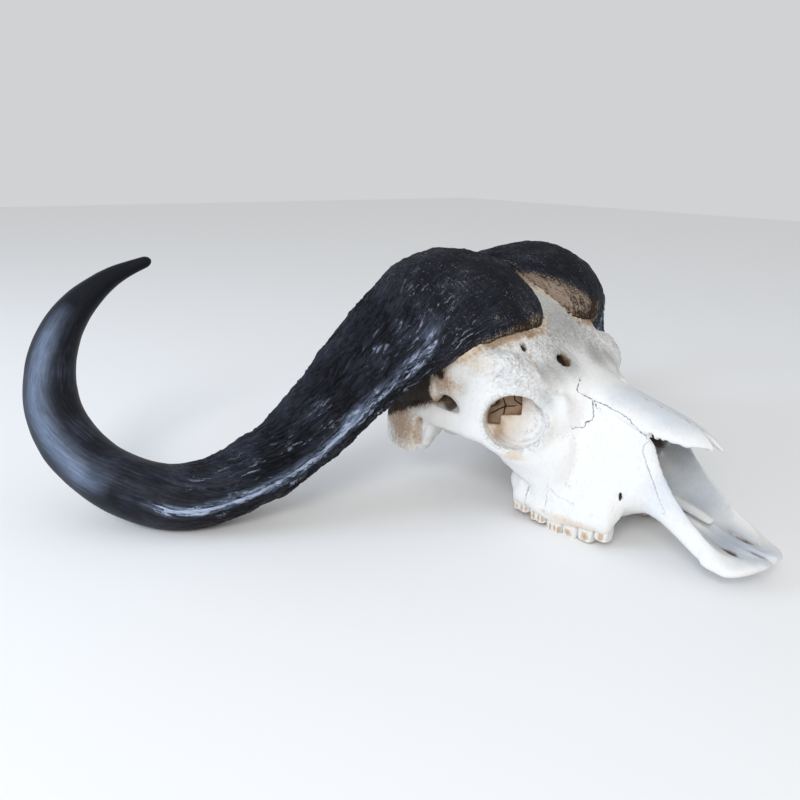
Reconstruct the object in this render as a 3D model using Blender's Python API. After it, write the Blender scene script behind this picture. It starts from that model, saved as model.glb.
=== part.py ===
"""A Cape buffalo skull without its lower jaw: one bone, two horn sheaths and twelve cheek teeth.

The skull is modelled in millimetres in its own frame: the tip of the muzzle is near y = 0, the back of
the head lies towards +Y, z = 0 is near the palate, and +X is the animal's left. An empty then raises
the back of the head a little and sets the skull on the ground, where it rests on the third and fourth
cheek teeth of each side and on the lowest bend of each horn.
"""
import math

import bmesh
import bpy
from mathutils import Matrix, Vector

MM = 0.001
SIDES = {"right": -1.0, "left": 1.0}

# How the skull lies.
BACK_RAISED = math.radians(1.0)
MUZZLE_FROM_MIDDLE = 359.9
PALATE_ABOVE_GROUND = 34.2

# Gaps between pieces that touch.
HORN_GAP = 0.5
TOOTH_GAP = 0.6

# The left tip, which curls in behind the boss, is worn a little lower than the right one.
TIP_DROPS = {-1.0: 0.0, 1.0: 20.0}

# How the bone is melted together and then thinned to large facets.
BONE_VOXEL = 3.0
BONE_SMOOTHING = 5
BONE_KEPT_SHARE = 0.036
RING_POINTS = 24
HORN_RING_POINTS = 20
HORN_RINGS_PER_STEP = 2


def clear_scene():
    for thing in list(bpy.data.objects):
        bpy.data.objects.remove(thing, do_unlink=True)


def material(name, colour, roughness):
    finish = bpy.data.materials.new(name)
    finish.use_nodes = True
    shader = finish.node_tree.nodes["Principled BSDF"]
    shader.inputs["Base Color"].default_value = (*colour, 1.0)
    shader.inputs["Roughness"].default_value = roughness
    shader.inputs["Metallic"].default_value = 0.0
    return finish


def add_rings(mesh, rings):
    """Bridge rings of points, given in millimetres, and close both ends."""
    loops = [[mesh.verts.new(Vector(point) * MM) for point in ring] for ring in rings]
    count = len(loops[0])
    for near, far in zip(loops, loops[1:]):
        for i in range(count):
            j = (i + 1) % count
            mesh.faces.new((near[i], near[j], far[j], far[i]))
    mesh.faces.new(list(reversed(loops[0])))
    mesh.faces.new(loops[-1])


def ground_below(y):
    """Height of the ground in the skull's own frame, at a distance back from the muzzle."""
    return -(PALATE_ABOVE_GROUND + y * math.sin(BACK_RAISED)) / math.cos(BACK_RAISED)


def object_from(mesh, name, finish=None):
    bmesh.ops.recalc_face_normals(mesh, faces=mesh.faces)
    data = bpy.data.meshes.new(name)
    mesh.to_mesh(data)
    mesh.free()
    thing = bpy.data.objects.new(name, data)
    bpy.context.scene.collection.objects.link(thing)
    if finish:
        data.materials.append(finish)
    return thing


def signed_power(value, power):
    return math.copysign(abs(value) ** power, value)


def section(y, low, high, width_low, width_high, square=0.75):
    """One cross-section of the head, wider or narrower at its foot than at its top.

    A square of 1 gives an ellipse and a smaller one gives a boxier outline.
    """
    middle, half = (low + high) / 2, (high - low) / 2
    ring = []
    for i in range(RING_POINTS):
        turn = 2 * math.pi * i / RING_POINTS
        rise = signed_power(math.sin(turn), square)
        width = width_low + (width_high - width_low) * (rise + 1) / 2
        ring.append((width * signed_power(math.cos(turn), square), y, middle + half * rise))
    return ring


def mirrored(ring, side):
    return [(side * x, y, z) for x, y, z in ring]


def add_tube(mesh, stops, side):
    """Sweep an oval along stops of (centre, half width, half height), the height being nearest to up."""
    centres = [Vector(stop[0]) for stop in stops]
    rings = []
    for i, (centre, wide, tall) in enumerate(stops):
        along = (centres[min(i + 1, len(stops) - 1)] - centres[max(i - 1, 0)]).normalized()
        guide = Vector((0, 0, 1)) if abs(along.z) < 0.9 else Vector((1, 0, 0))
        across = along.cross(guide).normalized()
        up = across.cross(along)
        ring = []
        for k in range(RING_POINTS // 2):
            turn = 4 * math.pi * k / RING_POINTS
            ring.append(Vector(centre) + across * wide * math.cos(turn) + up * tall * math.sin(turn))
        rings.append(mirrored(ring, side))
    add_rings(mesh, rings)


def add_ball(mesh, centre, radii, side, lean=0.0):
    """An ellipsoid, leaned about X by an angle in degrees."""
    place = Matrix.Translation(Vector((side * centre[0], centre[1], centre[2])) * MM)
    turned = Matrix.Rotation(math.radians(lean), 4, "X")
    size = Matrix.Diagonal((*[radius * MM for radius in radii], 1.0))
    bmesh.ops.create_uvsphere(mesh, u_segments=20, v_segments=12, radius=1.0,
                              matrix=place @ turned @ size)


# The bone, region by region.

ORBIT_CENTRE = (98.0, 280.0, 95.0)
ORBIT_AXIS = Vector((0.82, -0.54, 0.20)).normalized()
ORBIT_RADIUS = 34.0
ORBIT_WALL = 7.0
ORBIT_DEPTH = 62.0


def add_face(mesh):
    """Maxillae, lacrimals and the front of the frontals, as one tapering block."""
    add_rings(mesh, [
        section(42, -16, 18, 54, 46, 0.6),
        section(62, -10, 27, 53, 44, 0.55),
        section(92, 4, 46, 50, 42, 0.55),
        section(118, 14, 73, 47, 41, 0.6),
        section(140, 10, 101, 48, 40, 0.7),
        section(165, -8, 114, 62, 37, 0.45),
        section(205, -16, 124, 74, 42, 0.45),
        section(245, -17, 134, 80, 50, 0.45),
        section(275, -16, 148, 82, 64, 0.45),
        section(292, -10, 160, 78, 76, 0.45),
    ])


def add_nasals(mesh):
    """The arched roof of the nose, whose two points overhang the opening."""
    add_rings(mesh, [
        section(77, 90, 98, 11, 8, 0.9),
        section(92, 93, 109, 22, 12, 0.9),
        section(112, 95, 115, 33, 17, 0.9),
        section(140, 94, 122, 43, 22, 0.9),
        section(175, 102, 129, 43, 26, 0.9),
        section(210, 108, 137, 40, 28, 0.9),
        section(250, 106, 150, 44, 34, 0.9),
    ])


def add_muzzle(mesh):
    """The spatula of the two premaxillae."""
    add_rings(mesh, [
        section(1, -6, 3, 21, 18, 0.9),
        section(9, -12, 5, 37, 31, 0.9),
        section(28, -19, 7, 53, 44, 0.9),
        section(46, -17, 12, 53, 46, 0.9),
    ])


def add_gum_ridge(mesh, side):
    """The ridge of the maxilla that holds the cheek teeth."""
    add_tube(mesh, [
        ((54, 147, 10), 8, 12),
        ((56, 158, 2), 11, 15),
        ((58, 195, -2), 13, 18),
        ((61, 245, -4), 14, 18),
        ((62, 282, -2), 14, 16),
        ((62, 294, 6), 11, 14),
    ], side)


def add_braincase(mesh):
    """Frontals between the orbits, the case beneath the bosses and the back of the head."""
    add_rings(mesh, [
        section(228, 60, 138, 50, 44),
        section(255, 70, 152, 74, 60),
        section(282, 88, 176, 94, 74),
        section(305, 100, 202, 102, 80),
        section(335, 104, 222, 112, 92),
        section(370, 104, 236, 116, 100),
        section(405, 92, 240, 112, 100),
        section(440, 66, 222, 106, 92),
        section(468, 44, 196, 108, 76),
        section(484, 40, 164, 104, 60),
        section(490, 50, 140, 84, 50),
    ])
    add_rings(mesh, [
        section(300, 30, 150, 40, 70),
        section(345, 26, 150, 48, 62),
        section(400, 18, 150, 56, 66),
        section(450, 14, 150, 64, 80),
        section(486, 14, 120, 60, 70),
    ])


def add_orbit(mesh, side):
    """A short tube whose mouth is the raised rim of the orbit."""
    centre = Vector(ORBIT_CENTRE)
    outer = ORBIT_RADIUS + ORBIT_WALL
    stops = [
        (centre - ORBIT_AXIS * 40, outer * 0.8, outer * 0.8),
        (centre - ORBIT_AXIS * 10, outer * 0.98, outer * 0.98),
        (centre + ORBIT_AXIS * 6, outer, outer),
        (centre + ORBIT_AXIS * 11, outer - 4, outer - 4),
    ]
    add_tube(mesh, stops, side)


def add_cheek_arch(mesh, side):
    """The zygomatic arch, from below the orbit back to the hinge of the lower jaw."""
    add_tube(mesh, [
        ((84, 262, 52), 12, 18),
        ((102, 282, 60), 12, 15),
        ((116, 307, 70), 8, 12),
        ((122, 335, 73), 6, 13),
        ((124, 368, 74), 6, 13),
        ((119, 392, 72), 9, 14),
        ((100, 412, 72), 20, 17),
        ((74, 416, 78), 20, 18),
    ], side)
    add_tube(mesh, [
        ((100, 318, 146), 18, 12),
        ((111, 322, 114), 19, 10),
        ((117, 323, 88), 18, 8),
        ((119, 323, 68), 18, 8),
    ], side)
    add_tube(mesh, [
        ((92, 300, 160), 14, 16),
        ((106, 335, 142), 13, 24),
        ((110, 372, 130), 13, 24),
        ((104, 408, 112), 16, 26),
    ], side)


def add_back(mesh, side):
    """Horn root, the ear region with the plate below it, the condyle and the throat plates."""
    add_tube(mesh, [
        ((60, 395, 190), 74, 40),
        ((105, 398, 178), 70, 42),
        ((140, 406, 152), 52, 38),
    ], side)
    add_tube(mesh, [
        ((84, 450, 92), 38, 26),
        ((98, 454, 62), 40, 20),
        ((106, 458, 36), 36, 11),
        ((107, 460, 8), 30, 8),
    ], side)
    add_ball(mesh, (33, 488, 36), (19, 16, 26), side, 15)
    add_ball(mesh, (46, 428, 32), (13, 18, 14), side)
    add_tube(mesh, [
        ((30, 282, 34), 5, 36),
        ((30, 330, 44), 5, 34),
        ((28, 368, 50), 6, 24),
    ], side)


def bone_shells():
    mesh = bmesh.new()
    add_face(mesh)
    add_nasals(mesh)
    add_muzzle(mesh)
    add_braincase(mesh)
    for side in SIDES.values():
        add_gum_ridge(mesh, side)
        add_orbit(mesh, side)
        add_cheek_arch(mesh, side)
        add_back(mesh, side)
    return mesh


# What is hollow in the bone.

def nose_cutter():
    mesh = bmesh.new()
    add_rings(mesh, [
        section(12, 14, 88, 40, 40, 0.8),
        section(34, 10, 90, 40, 40, 0.8),
        section(70, 12, 94, 39, 38, 0.8),
        section(100, 18, 100, 38, 27, 0.8),
        section(140, 22, 111, 40, 27, 0.8),
        section(190, 36, 114, 44, 28, 0.8),
        section(215, 60, 100, 30, 20, 0.8),
    ])
    return object_from(mesh, "nose_cutter")


def orbit_cutters():
    mesh = bmesh.new()
    centre = Vector(ORBIT_CENTRE)
    for side in SIDES.values():
        stops = [
            (centre - ORBIT_AXIS * ORBIT_DEPTH, ORBIT_RADIUS * 0.45, ORBIT_RADIUS * 0.45),
            (centre - ORBIT_AXIS * ORBIT_DEPTH * 0.7, ORBIT_RADIUS * 0.8, ORBIT_RADIUS * 0.8),
            (centre, ORBIT_RADIUS, ORBIT_RADIUS),
            (centre + ORBIT_AXIS * 40, ORBIT_RADIUS, ORBIT_RADIUS),
        ]
        add_tube(mesh, stops, side)
    return object_from(mesh, "orbit_cutters")


# The horn sheaths.

HORN_STATIONS = (
    # centre; reach to the crest, reach away from it, thickness above, below, bow; crest direction
    ((5, 402, 234), (18, 78, 13, 12, 2), (0.0, -0.98, -0.20)),
    ((20, 402, 234), (69, 84, 26, 18, 8), (0.0, -0.98, -0.20)),
    ((42, 401, 234), (103, 87, 33, 22, 16), (0.0, -0.97, -0.22)),
    ((90, 400, 231), (101, 86, 41, 26, 18), (0.0, -0.97, -0.24)),
    ((130, 404, 209), (81, 68, 46, 30, 10), (-0.15, -0.90, -0.38)),
    ((168, 414, 178), (67, 52, 44, 36, 4), (-0.4, -0.75, -0.55)),
    ((208, 428, 139), (58, 48, 43, 37, 0), (-0.55, -0.6, -0.58)),
    ((252, 443, 89), (51, 44, 41, 37, 0), (-0.55, -0.6, -0.5)),
    ((300, 459, 43), (45, 42, 40, 37, 0), (-0.45, -0.75, -0.4)),
    ((355, 482, 9), (41, 40, 39, 38, 0), (-0.2, -0.9, -0.3)),
    ((402, 509, -6), (39, 39, 39, 39, 0), (0.0, -0.9, -0.1)),
    ((440, 547, -2), (37, 37, 37, 37, 0), (0.4, -0.9, 0.0)),
    ((470, 590, 17), (35, 35, 35, 35, 0), (0.8, -0.6, 0.0)),
    ((489, 628, 48), (34, 34, 34, 34, 0), (0.9, -0.3, 0.0)),
    ((494, 658, 90), (31, 31, 31, 31, 0), (1.0, 0.0, 0.0)),
    ((478, 685, 140), (27, 27, 27, 27, 0), (0.9, 0.0, 0.3)),
    ((443, 701, 186), (21, 21, 21, 21, 0), (0.7, 0.0, 0.7)),
    ((396, 702, 221), (12.5, 12.5, 12.5, 12.5, 0), (0.5, 0.0, 0.8)),
    ((350, 692, 242), (5, 5, 5, 5, 0), (0.4, 0.0, 0.9)),
)


def smooth_between(values, step):
    """A Catmull-Rom curve through equally spaced values, read at a whole or part step."""
    i = min(int(step), len(values) - 2)
    part = step - i
    a, b, c, d = (values[min(max(i + k, 0), len(values) - 1)] for k in (-1, 0, 1, 2))
    return (b * 2 + (c - a) * part + (a * 2 - b * 5 + c * 4 - d) * part ** 2
            + (b * 3 - a - c * 3 + d) * part ** 3) / 2


def horn_rings(side, grown=0.0):
    """Rings of the horn from the boss to the tip, swollen by a clearance where it is a cutter."""
    centres = [Vector(station[0]) for station in HORN_STATIONS]
    reaches = [Vector(station[1][:3]) for station in HORN_STATIONS]
    unders = [Vector((*station[1][3:], 0)) for station in HORN_STATIONS]
    crests = [Vector(station[2]) for station in HORN_STATIONS]
    centres[-1].z -= TIP_DROPS[side]
    centres[-2].z -= TIP_DROPS[side] / 2
    steps = (len(HORN_STATIONS) - 1) * HORN_RINGS_PER_STEP
    rings = []
    for k in range(steps + 1):
        step = k / HORN_RINGS_PER_STEP
        centre = smooth_between(centres, step)
        ahead = smooth_between(centres, min(step + 0.2, len(centres) - 1))
        behind = smooth_between(centres, max(step - 0.2, 0))
        along = (ahead - behind).normalized()
        if k == 0:
            centre = centre - along * grown
        if k == steps:
            centre = centre + along * grown
        to_crest, away, above = smooth_between(reaches, step)
        below, bow, _ = smooth_between(unders, step)
        crest = smooth_between(crests, step)
        crest = (crest - along * crest.dot(along)).normalized()
        outer = crest.cross(along).normalized()
        ring = []
        for i in range(HORN_RING_POINTS):
            turn = 2 * math.pi * i / HORN_RING_POINTS
            reach = (to_crest if math.cos(turn) > 0 else away) + grown
            thick = (above if math.sin(turn) > 0 else below) + grown
            lift = thick * math.sin(turn) - bow * math.cos(turn) ** 2
            ring.append(centre + crest * reach * math.cos(turn) + outer * lift)
        rings.append(mirrored(ring, side))
    return rings


def horn_shape(name, side, finish=None, grown=0.0):
    mesh = bmesh.new()
    add_rings(mesh, horn_rings(side, grown))
    bmesh.ops.triangulate(mesh, faces=mesh.faces)
    return object_from(mesh, name, finish)


def ground_cutter():
    """What is worn flat off the lowest bend of each horn, where it lies on the ground."""
    mesh = bmesh.new()
    corners = ((-600, 0), (600, 0), (600, -60), (-600, -60))
    add_rings(mesh, [[(x, y, ground_below(y) + drop) for x, drop in corners] for y in (300, 900)])
    return object_from(mesh, "ground_cutter")


def horns(finish):
    ground = ground_cutter()
    for name, side in SIDES.items():
        cut(horn_shape("horn_" + name, side, finish), ground)


# The cheek teeth.

TOOTH_LENGTHS = (20.0, 22.0, 22.0, 25.0, 27.0, 29.0)
TOOTH_WIDTHS = (16.0, 20.0, 22.0, 25.0, 26.0, 25.0)
TOOTH_ROW_FRONT = (55.0, 150.0)
TOOTH_ROW_BACK = (64.0, 290.0)
TOOTH_TIPS = (-25.0, -35.0, -40.0, -40.0, -34.0, -29.0)
TOOTH_ROOTS = (2.0, -6.0, -10.0, -11.0, -9.0, -6.0)
TOOTH_SPACE = 0.4
TOOTH_RING_POINTS = 10


def tooth_rings(index, side, grown=0.0):
    length, width = TOOTH_LENGTHS[index], TOOTH_WIDTHS[index]
    row_length = sum(TOOTH_LENGTHS)
    start = sum(TOOTH_LENGTHS[:index])
    share = (start + length / 2) / row_length
    x = TOOTH_ROW_FRONT[0] + (TOOTH_ROW_BACK[0] - TOOTH_ROW_FRONT[0]) * share
    y = TOOTH_ROW_FRONT[1] + (TOOTH_ROW_BACK[1] - TOOTH_ROW_FRONT[1]) * share
    half_length = length / 2 - TOOTH_SPACE + grown
    rings = []
    for level, narrow in ((TOOTH_TIPS[index], 0.86), (TOOTH_TIPS[index] * 0.5, 1.0),
                          (TOOTH_ROOTS[index] + grown, 0.9)):
        ring = []
        for i in range(TOOTH_RING_POINTS):
            turn = 2 * math.pi * (i + 0.5) / TOOTH_RING_POINTS
            out = (width / 2 + grown) * narrow * signed_power(math.cos(turn), 0.7)
            back = y + half_length * narrow * signed_power(math.sin(turn), 0.7)
            ring.append((side * (x + out), back, max(level, ground_below(back))))
        rings.append(ring)
    return rings


def tooth(name, index, side, finish):
    mesh = bmesh.new()
    add_rings(mesh, tooth_rings(index, side))
    bmesh.ops.triangulate(mesh, faces=mesh.faces)
    return object_from(mesh, name, finish)


def tooth_sockets():
    mesh = bmesh.new()
    for side in SIDES.values():
        for index in range(len(TOOTH_LENGTHS)):
            add_rings(mesh, tooth_rings(index, side, TOOTH_GAP))
    return object_from(mesh, "tooth_sockets")


def hide_cutter(cutter):
    cutter.hide_render = True
    cutter.display_type = "WIRE"
    return cutter


def cut(thing, cutter, shells_overlap=False):
    modifier = thing.modifiers.new("cut_" + cutter.name, "BOOLEAN")
    modifier.operation = "DIFFERENCE"
    modifier.solver = "EXACT"
    modifier.use_self = shells_overlap
    modifier.object = hide_cutter(cutter)


def skull(finish):
    bone = object_from(bone_shells(), "skull", finish)
    melt = bone.modifiers.new("melt", "REMESH")
    melt.mode = "VOXEL"
    melt.voxel_size = BONE_VOXEL * MM
    soften = bone.modifiers.new("soften", "SMOOTH")
    soften.factor = 0.5
    soften.iterations = BONE_SMOOTHING
    cut(bone, nose_cutter())
    cut(bone, orbit_cutters())
    thin = bone.modifiers.new("thin", "DECIMATE")
    thin.ratio = BONE_KEPT_SHARE
    thin.use_collapse_triangulate = True
    for name, side in SIDES.items():
        cut(bone, horn_shape("horn_seat_" + name, side, grown=HORN_GAP))
    cut(bone, tooth_sockets(), shells_overlap=True)
    return bone


def main():
    clear_scene()
    bone = material("bone", (0.80, 0.78, 0.74), 0.65)
    black = material("horn", (0.03, 0.03, 0.035), 0.45)
    enamel = material("tooth", (0.78, 0.70, 0.58), 0.4)
    pose = bpy.data.objects.new("resting_pose", None)
    bpy.context.scene.collection.objects.link(pose)
    pose.rotation_euler = (BACK_RAISED, 0, 0)
    pose.location = Vector((0, -MUZZLE_FROM_MIDDLE, PALATE_ABOVE_GROUND)) * MM
    skull(bone)
    horns(black)
    for name, side in SIDES.items():
        for index in range(len(TOOTH_LENGTHS)):
            tooth(f"tooth_{name}_{index + 1}", index, side, enamel)
    for thing in bpy.data.objects:
        if thing is not pose:
            thing.parent = pose


main()
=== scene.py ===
# %% [markdown]
# # A Cape buffalo skull
#
# This lesson dresses a plain model of a Cape buffalo skull: bleached bone, two black horns and the
# upper cheek teeth. The plain model is loaded first and stays as it is. Each of its pieces is then
# replaced by a finer one of the same size in the same place, and gets a finish made of nodes.
#
# The skull is described in millimetres in its own frame. The front of the muzzle is near y = 0, the
# back of the head lies towards +Y, z = 0 is near the palate and +X is the animal's left side.

# %% Load the frame
import math

import bpy
import numpy as np
import openvdb
from mathutils import Matrix, Vector


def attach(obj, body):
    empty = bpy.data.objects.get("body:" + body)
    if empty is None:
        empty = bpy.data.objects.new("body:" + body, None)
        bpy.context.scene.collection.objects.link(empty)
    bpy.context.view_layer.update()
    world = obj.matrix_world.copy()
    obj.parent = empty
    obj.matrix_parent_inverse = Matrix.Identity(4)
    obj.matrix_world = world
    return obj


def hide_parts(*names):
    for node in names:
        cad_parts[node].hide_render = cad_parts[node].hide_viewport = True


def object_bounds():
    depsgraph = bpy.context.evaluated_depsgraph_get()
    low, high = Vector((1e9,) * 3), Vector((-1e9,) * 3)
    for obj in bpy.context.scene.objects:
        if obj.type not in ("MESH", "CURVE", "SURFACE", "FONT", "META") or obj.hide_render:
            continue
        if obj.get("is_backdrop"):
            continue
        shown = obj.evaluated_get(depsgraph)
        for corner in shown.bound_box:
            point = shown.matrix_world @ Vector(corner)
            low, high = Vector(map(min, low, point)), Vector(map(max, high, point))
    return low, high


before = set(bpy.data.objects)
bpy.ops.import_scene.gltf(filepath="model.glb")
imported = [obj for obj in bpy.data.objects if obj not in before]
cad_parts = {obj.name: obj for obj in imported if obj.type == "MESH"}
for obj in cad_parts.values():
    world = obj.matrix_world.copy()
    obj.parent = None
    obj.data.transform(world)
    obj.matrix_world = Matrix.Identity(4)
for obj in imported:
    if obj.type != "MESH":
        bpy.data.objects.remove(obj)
cad_box = [list(corner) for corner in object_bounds()]
print("plain model, in metres:", [round(high - low, 3) for low, high in zip(*cad_box)])

# %% [markdown]
# The skull lies on a table with the back of the head raised by one degree, so that it rests on its
# teeth and on the lowest bend of each horn. One function takes points from the skull's own frame to
# the table's, and every piece goes through it once, when its mesh is made.

# %% From the skull's millimetres to the table's metres
MM = 0.001
BACK_RAISED = math.radians(1.0)
MUZZLE_FROM_MIDDLE = 359.9
PALATE_ABOVE_GROUND = 34.2
SIDES = {"right": -1.0, "left": 1.0}


def on_table(points):
    """Points in the skull's millimetres, as points on the table in metres."""
    points = np.asarray(points, float)
    x, y, z = points[:, 0], points[:, 1], points[:, 2]
    cosine, sine = math.cos(BACK_RAISED), math.sin(BACK_RAISED)
    back = y * cosine - z * sine - MUZZLE_FROM_MIDDLE
    up = y * sine + z * cosine + PALATE_ABOVE_GROUND
    return np.stack((x, back, up), axis=1) * MM


def piece_from(name, points, faces):
    """A mesh object at the origin, from points in the skull's millimetres."""
    mesh = bpy.data.meshes.new(name)
    mesh.from_pydata(on_table(points), [], faces)
    mesh.shade_smooth()
    piece = bpy.data.objects.new(name, mesh)
    bpy.context.scene.collection.objects.link(piece)
    return piece


# %% [markdown]
# ## The bone
#
# A skull has no straight edges and no separate parts: plates, arches and holes flow into each other.
# Boxes and tubes joined by cuts would show their seams. So the bone is kept as a field of distances:
# every point of a fine grid holds how far it is from the surface, less than zero inside. Two shapes
# join by taking the smaller distance, and a hole is cut by taking the larger of one and the other
# turned inside out. If the two are eased into each other, the join is a soft fillet, as in real bone.
#
# Only the left half is worked out. The right half is its mirror image.

# %% A grid of distances
VOXEL = 1.5
GRID_LOW = (0.0, -9.0, -33.0)
GRID_HIGH = (160.5, 516.0, 249.0)
FAR_AWAY = 40.0


def eased_min(a, b, ease):
    """The smaller of two distances, rounded off where they are nearly equal."""
    near = np.maximum(ease - np.abs(a - b), 0.0) / ease
    return np.minimum(a, b) - near * near * ease / 4


class Bone:
    """Half a head as distances, in millimetres, on a grid."""

    def __init__(self):
        self.axes = [np.arange(low, high + VOXEL / 2, VOXEL, dtype=np.float32)
                     for low, high in zip(GRID_LOW, GRID_HIGH)]
        self.field = np.full([len(axis) for axis in self.axes], FAR_AWAY, np.float32)

    def window(self, low, high):
        """The part of the grid between two corners, with its x, y and z."""
        part = tuple(slice(int(np.searchsorted(axis, a)), int(np.searchsorted(axis, b)))
                     for axis, a, b in zip(self.axes, low, high))
        x, y, z = (axis[piece] for axis, piece in zip(self.axes, part))
        return part, x[:, None, None], y[None, :, None], z[None, None, :]

    def join(self, part, distance, ease=6.0):
        self.field[part] = eased_min(self.field[part], distance, ease)

    def carve(self, part, distance, ease=2.0):
        self.field[part] = -eased_min(-self.field[part], distance, ease)

    def form(self, part, distance, ease, hollow):
        """Joins a form to the bone, or carves it out where it is hollow."""
        (self.carve if hollow else self.join)(part, distance, ease)


# %% [markdown]
# The large forms are **lofts**: a few upright cross-sections with a smooth curve run through each of
# their sizes. The thin forms, such as the cheek arch, are **tubes**: ovals that follow a path. Both
# give the distance along the line from their middle, which is close enough near the surface. Close
# to the middle itself, a fixed share of the form's smaller half size is used instead.

# %% Lofts, tubes and balls as distances
NEAR_MIDDLE = 0.1
CORE = -0.9


def curve_through(at, places, values):
    """A smooth curve through values at uneven places, read at other places."""
    places, values = np.asarray(places, float), np.asarray(values, float)
    slopes = np.gradient(values, places)
    i = np.clip(np.searchsorted(places, at) - 1, 0, len(places) - 2)
    span = places[i + 1] - places[i]
    t = np.clip((at - places[i]) / span, 0, 1)
    near = values[i] * (2 * t**3 - 3 * t**2 + 1) + slopes[i] * span * (t**3 - 2 * t**2 + t)
    far = values[i + 1] * (3 * t**2 - 2 * t**3) + slopes[i + 1] * span * (t**3 - t**2)
    return near + far


def smooth_path(values, pieces):
    """Equally spaced readings along a Catmull-Rom curve through rows of values."""
    rows = np.asarray(values, float)
    padded = np.vstack((rows[:1], rows, rows[-1:]))
    steps = np.linspace(0, len(rows) - 1, (len(rows) - 1) * pieces + 1)
    i = np.minimum(steps.astype(int), len(rows) - 2)
    t = (steps - i)[:, None]
    a, b, c, d = padded[i], padded[i + 1], padded[i + 2], padded[i + 3]
    return (b * 2 + (c - a) * t + (a * 2 - b * 5 + c * 4 - d) * t**2
            + (b * 3 - a - c * 3 + d) * t**3) / 2


def from_surface(ratio, reach, core):
    """The distance to the surface, where the ratio is one, along the line from its middle."""
    return np.where(ratio < NEAR_MIDDLE, core, reach - reach / np.maximum(ratio, NEAR_MIDDLE))


def loft(bone, stations, hollow=False, ease=6.0, margin=12.0):
    """Stations are (y, low, high, half width at the foot, half width at the top, squareness)."""
    table = np.asarray(stations, float)
    ys = table[:, 0]
    widest = table[:, 3:5].max() + margin
    part, x, y, z = bone.window((0, ys[0] - margin, table[:, 1].min() - margin),
                                (widest, ys[-1] + margin, table[:, 2].max() + margin))
    low, high, foot, top, power = (curve_through(y, ys, table[:, k]) for k in range(1, 6))
    middle, half = (low + high) / 2, (high - low) / 2
    rise = (z - middle) / half
    width = foot + (top - foot) * np.clip((rise + 1) / 2, 0, 1)
    ratio = (np.abs(x / width) ** power + np.abs(rise) ** power) ** (1 / power)
    reach = np.sqrt(x * x + (z - middle) ** 2)
    distance = from_surface(ratio, reach, CORE * np.minimum(width, half))
    distance = np.maximum(distance, np.maximum(ys[0] - y, y - ys[-1])).astype(np.float32)
    bone.form(part, distance, ease, hollow)


def tube(bone, stops, hollow=False, ease=6.0, pieces=4, margin=10.0):
    """An oval swept along stops of (x, y, z, half width, half height)."""
    rows = smooth_path(stops, pieces)
    reach = rows[:, 3:5].max() + margin
    part, x, y, z = bone.window(rows[:, :3].min(0) - reach, rows[:, :3].max(0) + reach)
    best = np.full(np.broadcast_shapes(x.shape, y.shape, z.shape), FAR_AWAY, np.float32)
    for start, end in zip(rows, rows[1:]):
        run = end[:3] - start[:3]
        length = np.linalg.norm(run)
        along = run / length
        guide = np.array((0.0, 0.0, 1.0)) if abs(along[2]) < 0.9 else np.array((1.0, 0.0, 0.0))
        across = np.cross(along, guide)
        across /= np.linalg.norm(across)
        up = np.cross(across, along)
        px, py, pz = x - start[0], y - start[1], z - start[2]
        share = np.clip((px * along[0] + py * along[1] + pz * along[2]) / length, 0, 1)
        qx, qy, qz = px - share * run[0], py - share * run[1], pz - share * run[2]
        wide = start[3] + (end[3] - start[3]) * share
        tall = start[4] + (end[4] - start[4]) * share
        u = (qx * across[0] + qy * across[1] + qz * across[2]) / wide
        v = (qx * up[0] + qy * up[1] + qz * up[2]) / tall
        w = (qx * along[0] + qy * along[1] + qz * along[2]) / np.minimum(wide, tall)
        ratio = np.sqrt(u * u + v * v + w * w)
        spread = np.sqrt(qx * qx + qy * qy + qz * qz)
        distance = from_surface(ratio, spread, CORE * np.minimum(wide, tall))
        best = np.minimum(best, distance)
    bone.form(part, best, ease, hollow)


def ball(bone, centre, radii, hollow=False, ease=6.0, lean=0.0):
    """An ellipsoid, leaned about X by an angle in degrees."""
    reach = max(radii) + 10
    part, x, y, z = bone.window([c - reach for c in centre], [c + reach for c in centre])
    px, py, pz = x - centre[0], y - centre[1], z - centre[2]
    turn = math.radians(lean)
    py, pz = py * math.cos(turn) + pz * math.sin(turn), pz * math.cos(turn) - py * math.sin(turn)
    ratio = np.sqrt((px / radii[0]) ** 2 + (py / radii[1]) ** 2 + (pz / radii[2]) ** 2)
    spread = np.sqrt(px * px + py * py + pz * pz)
    distance = from_surface(ratio, spread, CORE * min(radii))
    bone.form(part, distance.astype(np.float32), ease, hollow)


# %% [markdown]
# The face comes first: the upper jaw bones form a tall, nearly flat-sided block that narrows to the
# two premaxillae, a spatula with slits in its floor. The nasals are a thin pointed roof over the
# opening of the nose.

# %% The face and the nose
def face(bone):
    loft(bone, (
        (46, -17, 9, 54, 45, 3.4), (62, -12, 21, 53, 44, 3.6), (92, 0, 46, 50, 42, 3.6),
        (118, 6, 73, 47, 41, 3.4), (136, 4, 97, 47, 40, 3.0), (150, -1, 108, 54, 38, 3.2),
        (170, -11, 114, 63, 37, 4.0), (205, -16, 124, 73, 42, 4.4), (245, -17, 134, 79, 50, 4.4),
        (275, -16, 148, 81, 62, 4.2), (296, -4, 160, 74, 76, 3.6),
    ))
    loft(bone, (
        (0, -6, 0, 20, 18, 2.6), (9, -13, 0, 37, 33, 2.6), (27, -20, -1, 53, 48, 2.8),
        (39, -20, 6, 54, 47, 3.2), (52, -18, 14, 54, 45, 3.4),
    ), ease=8)


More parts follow.
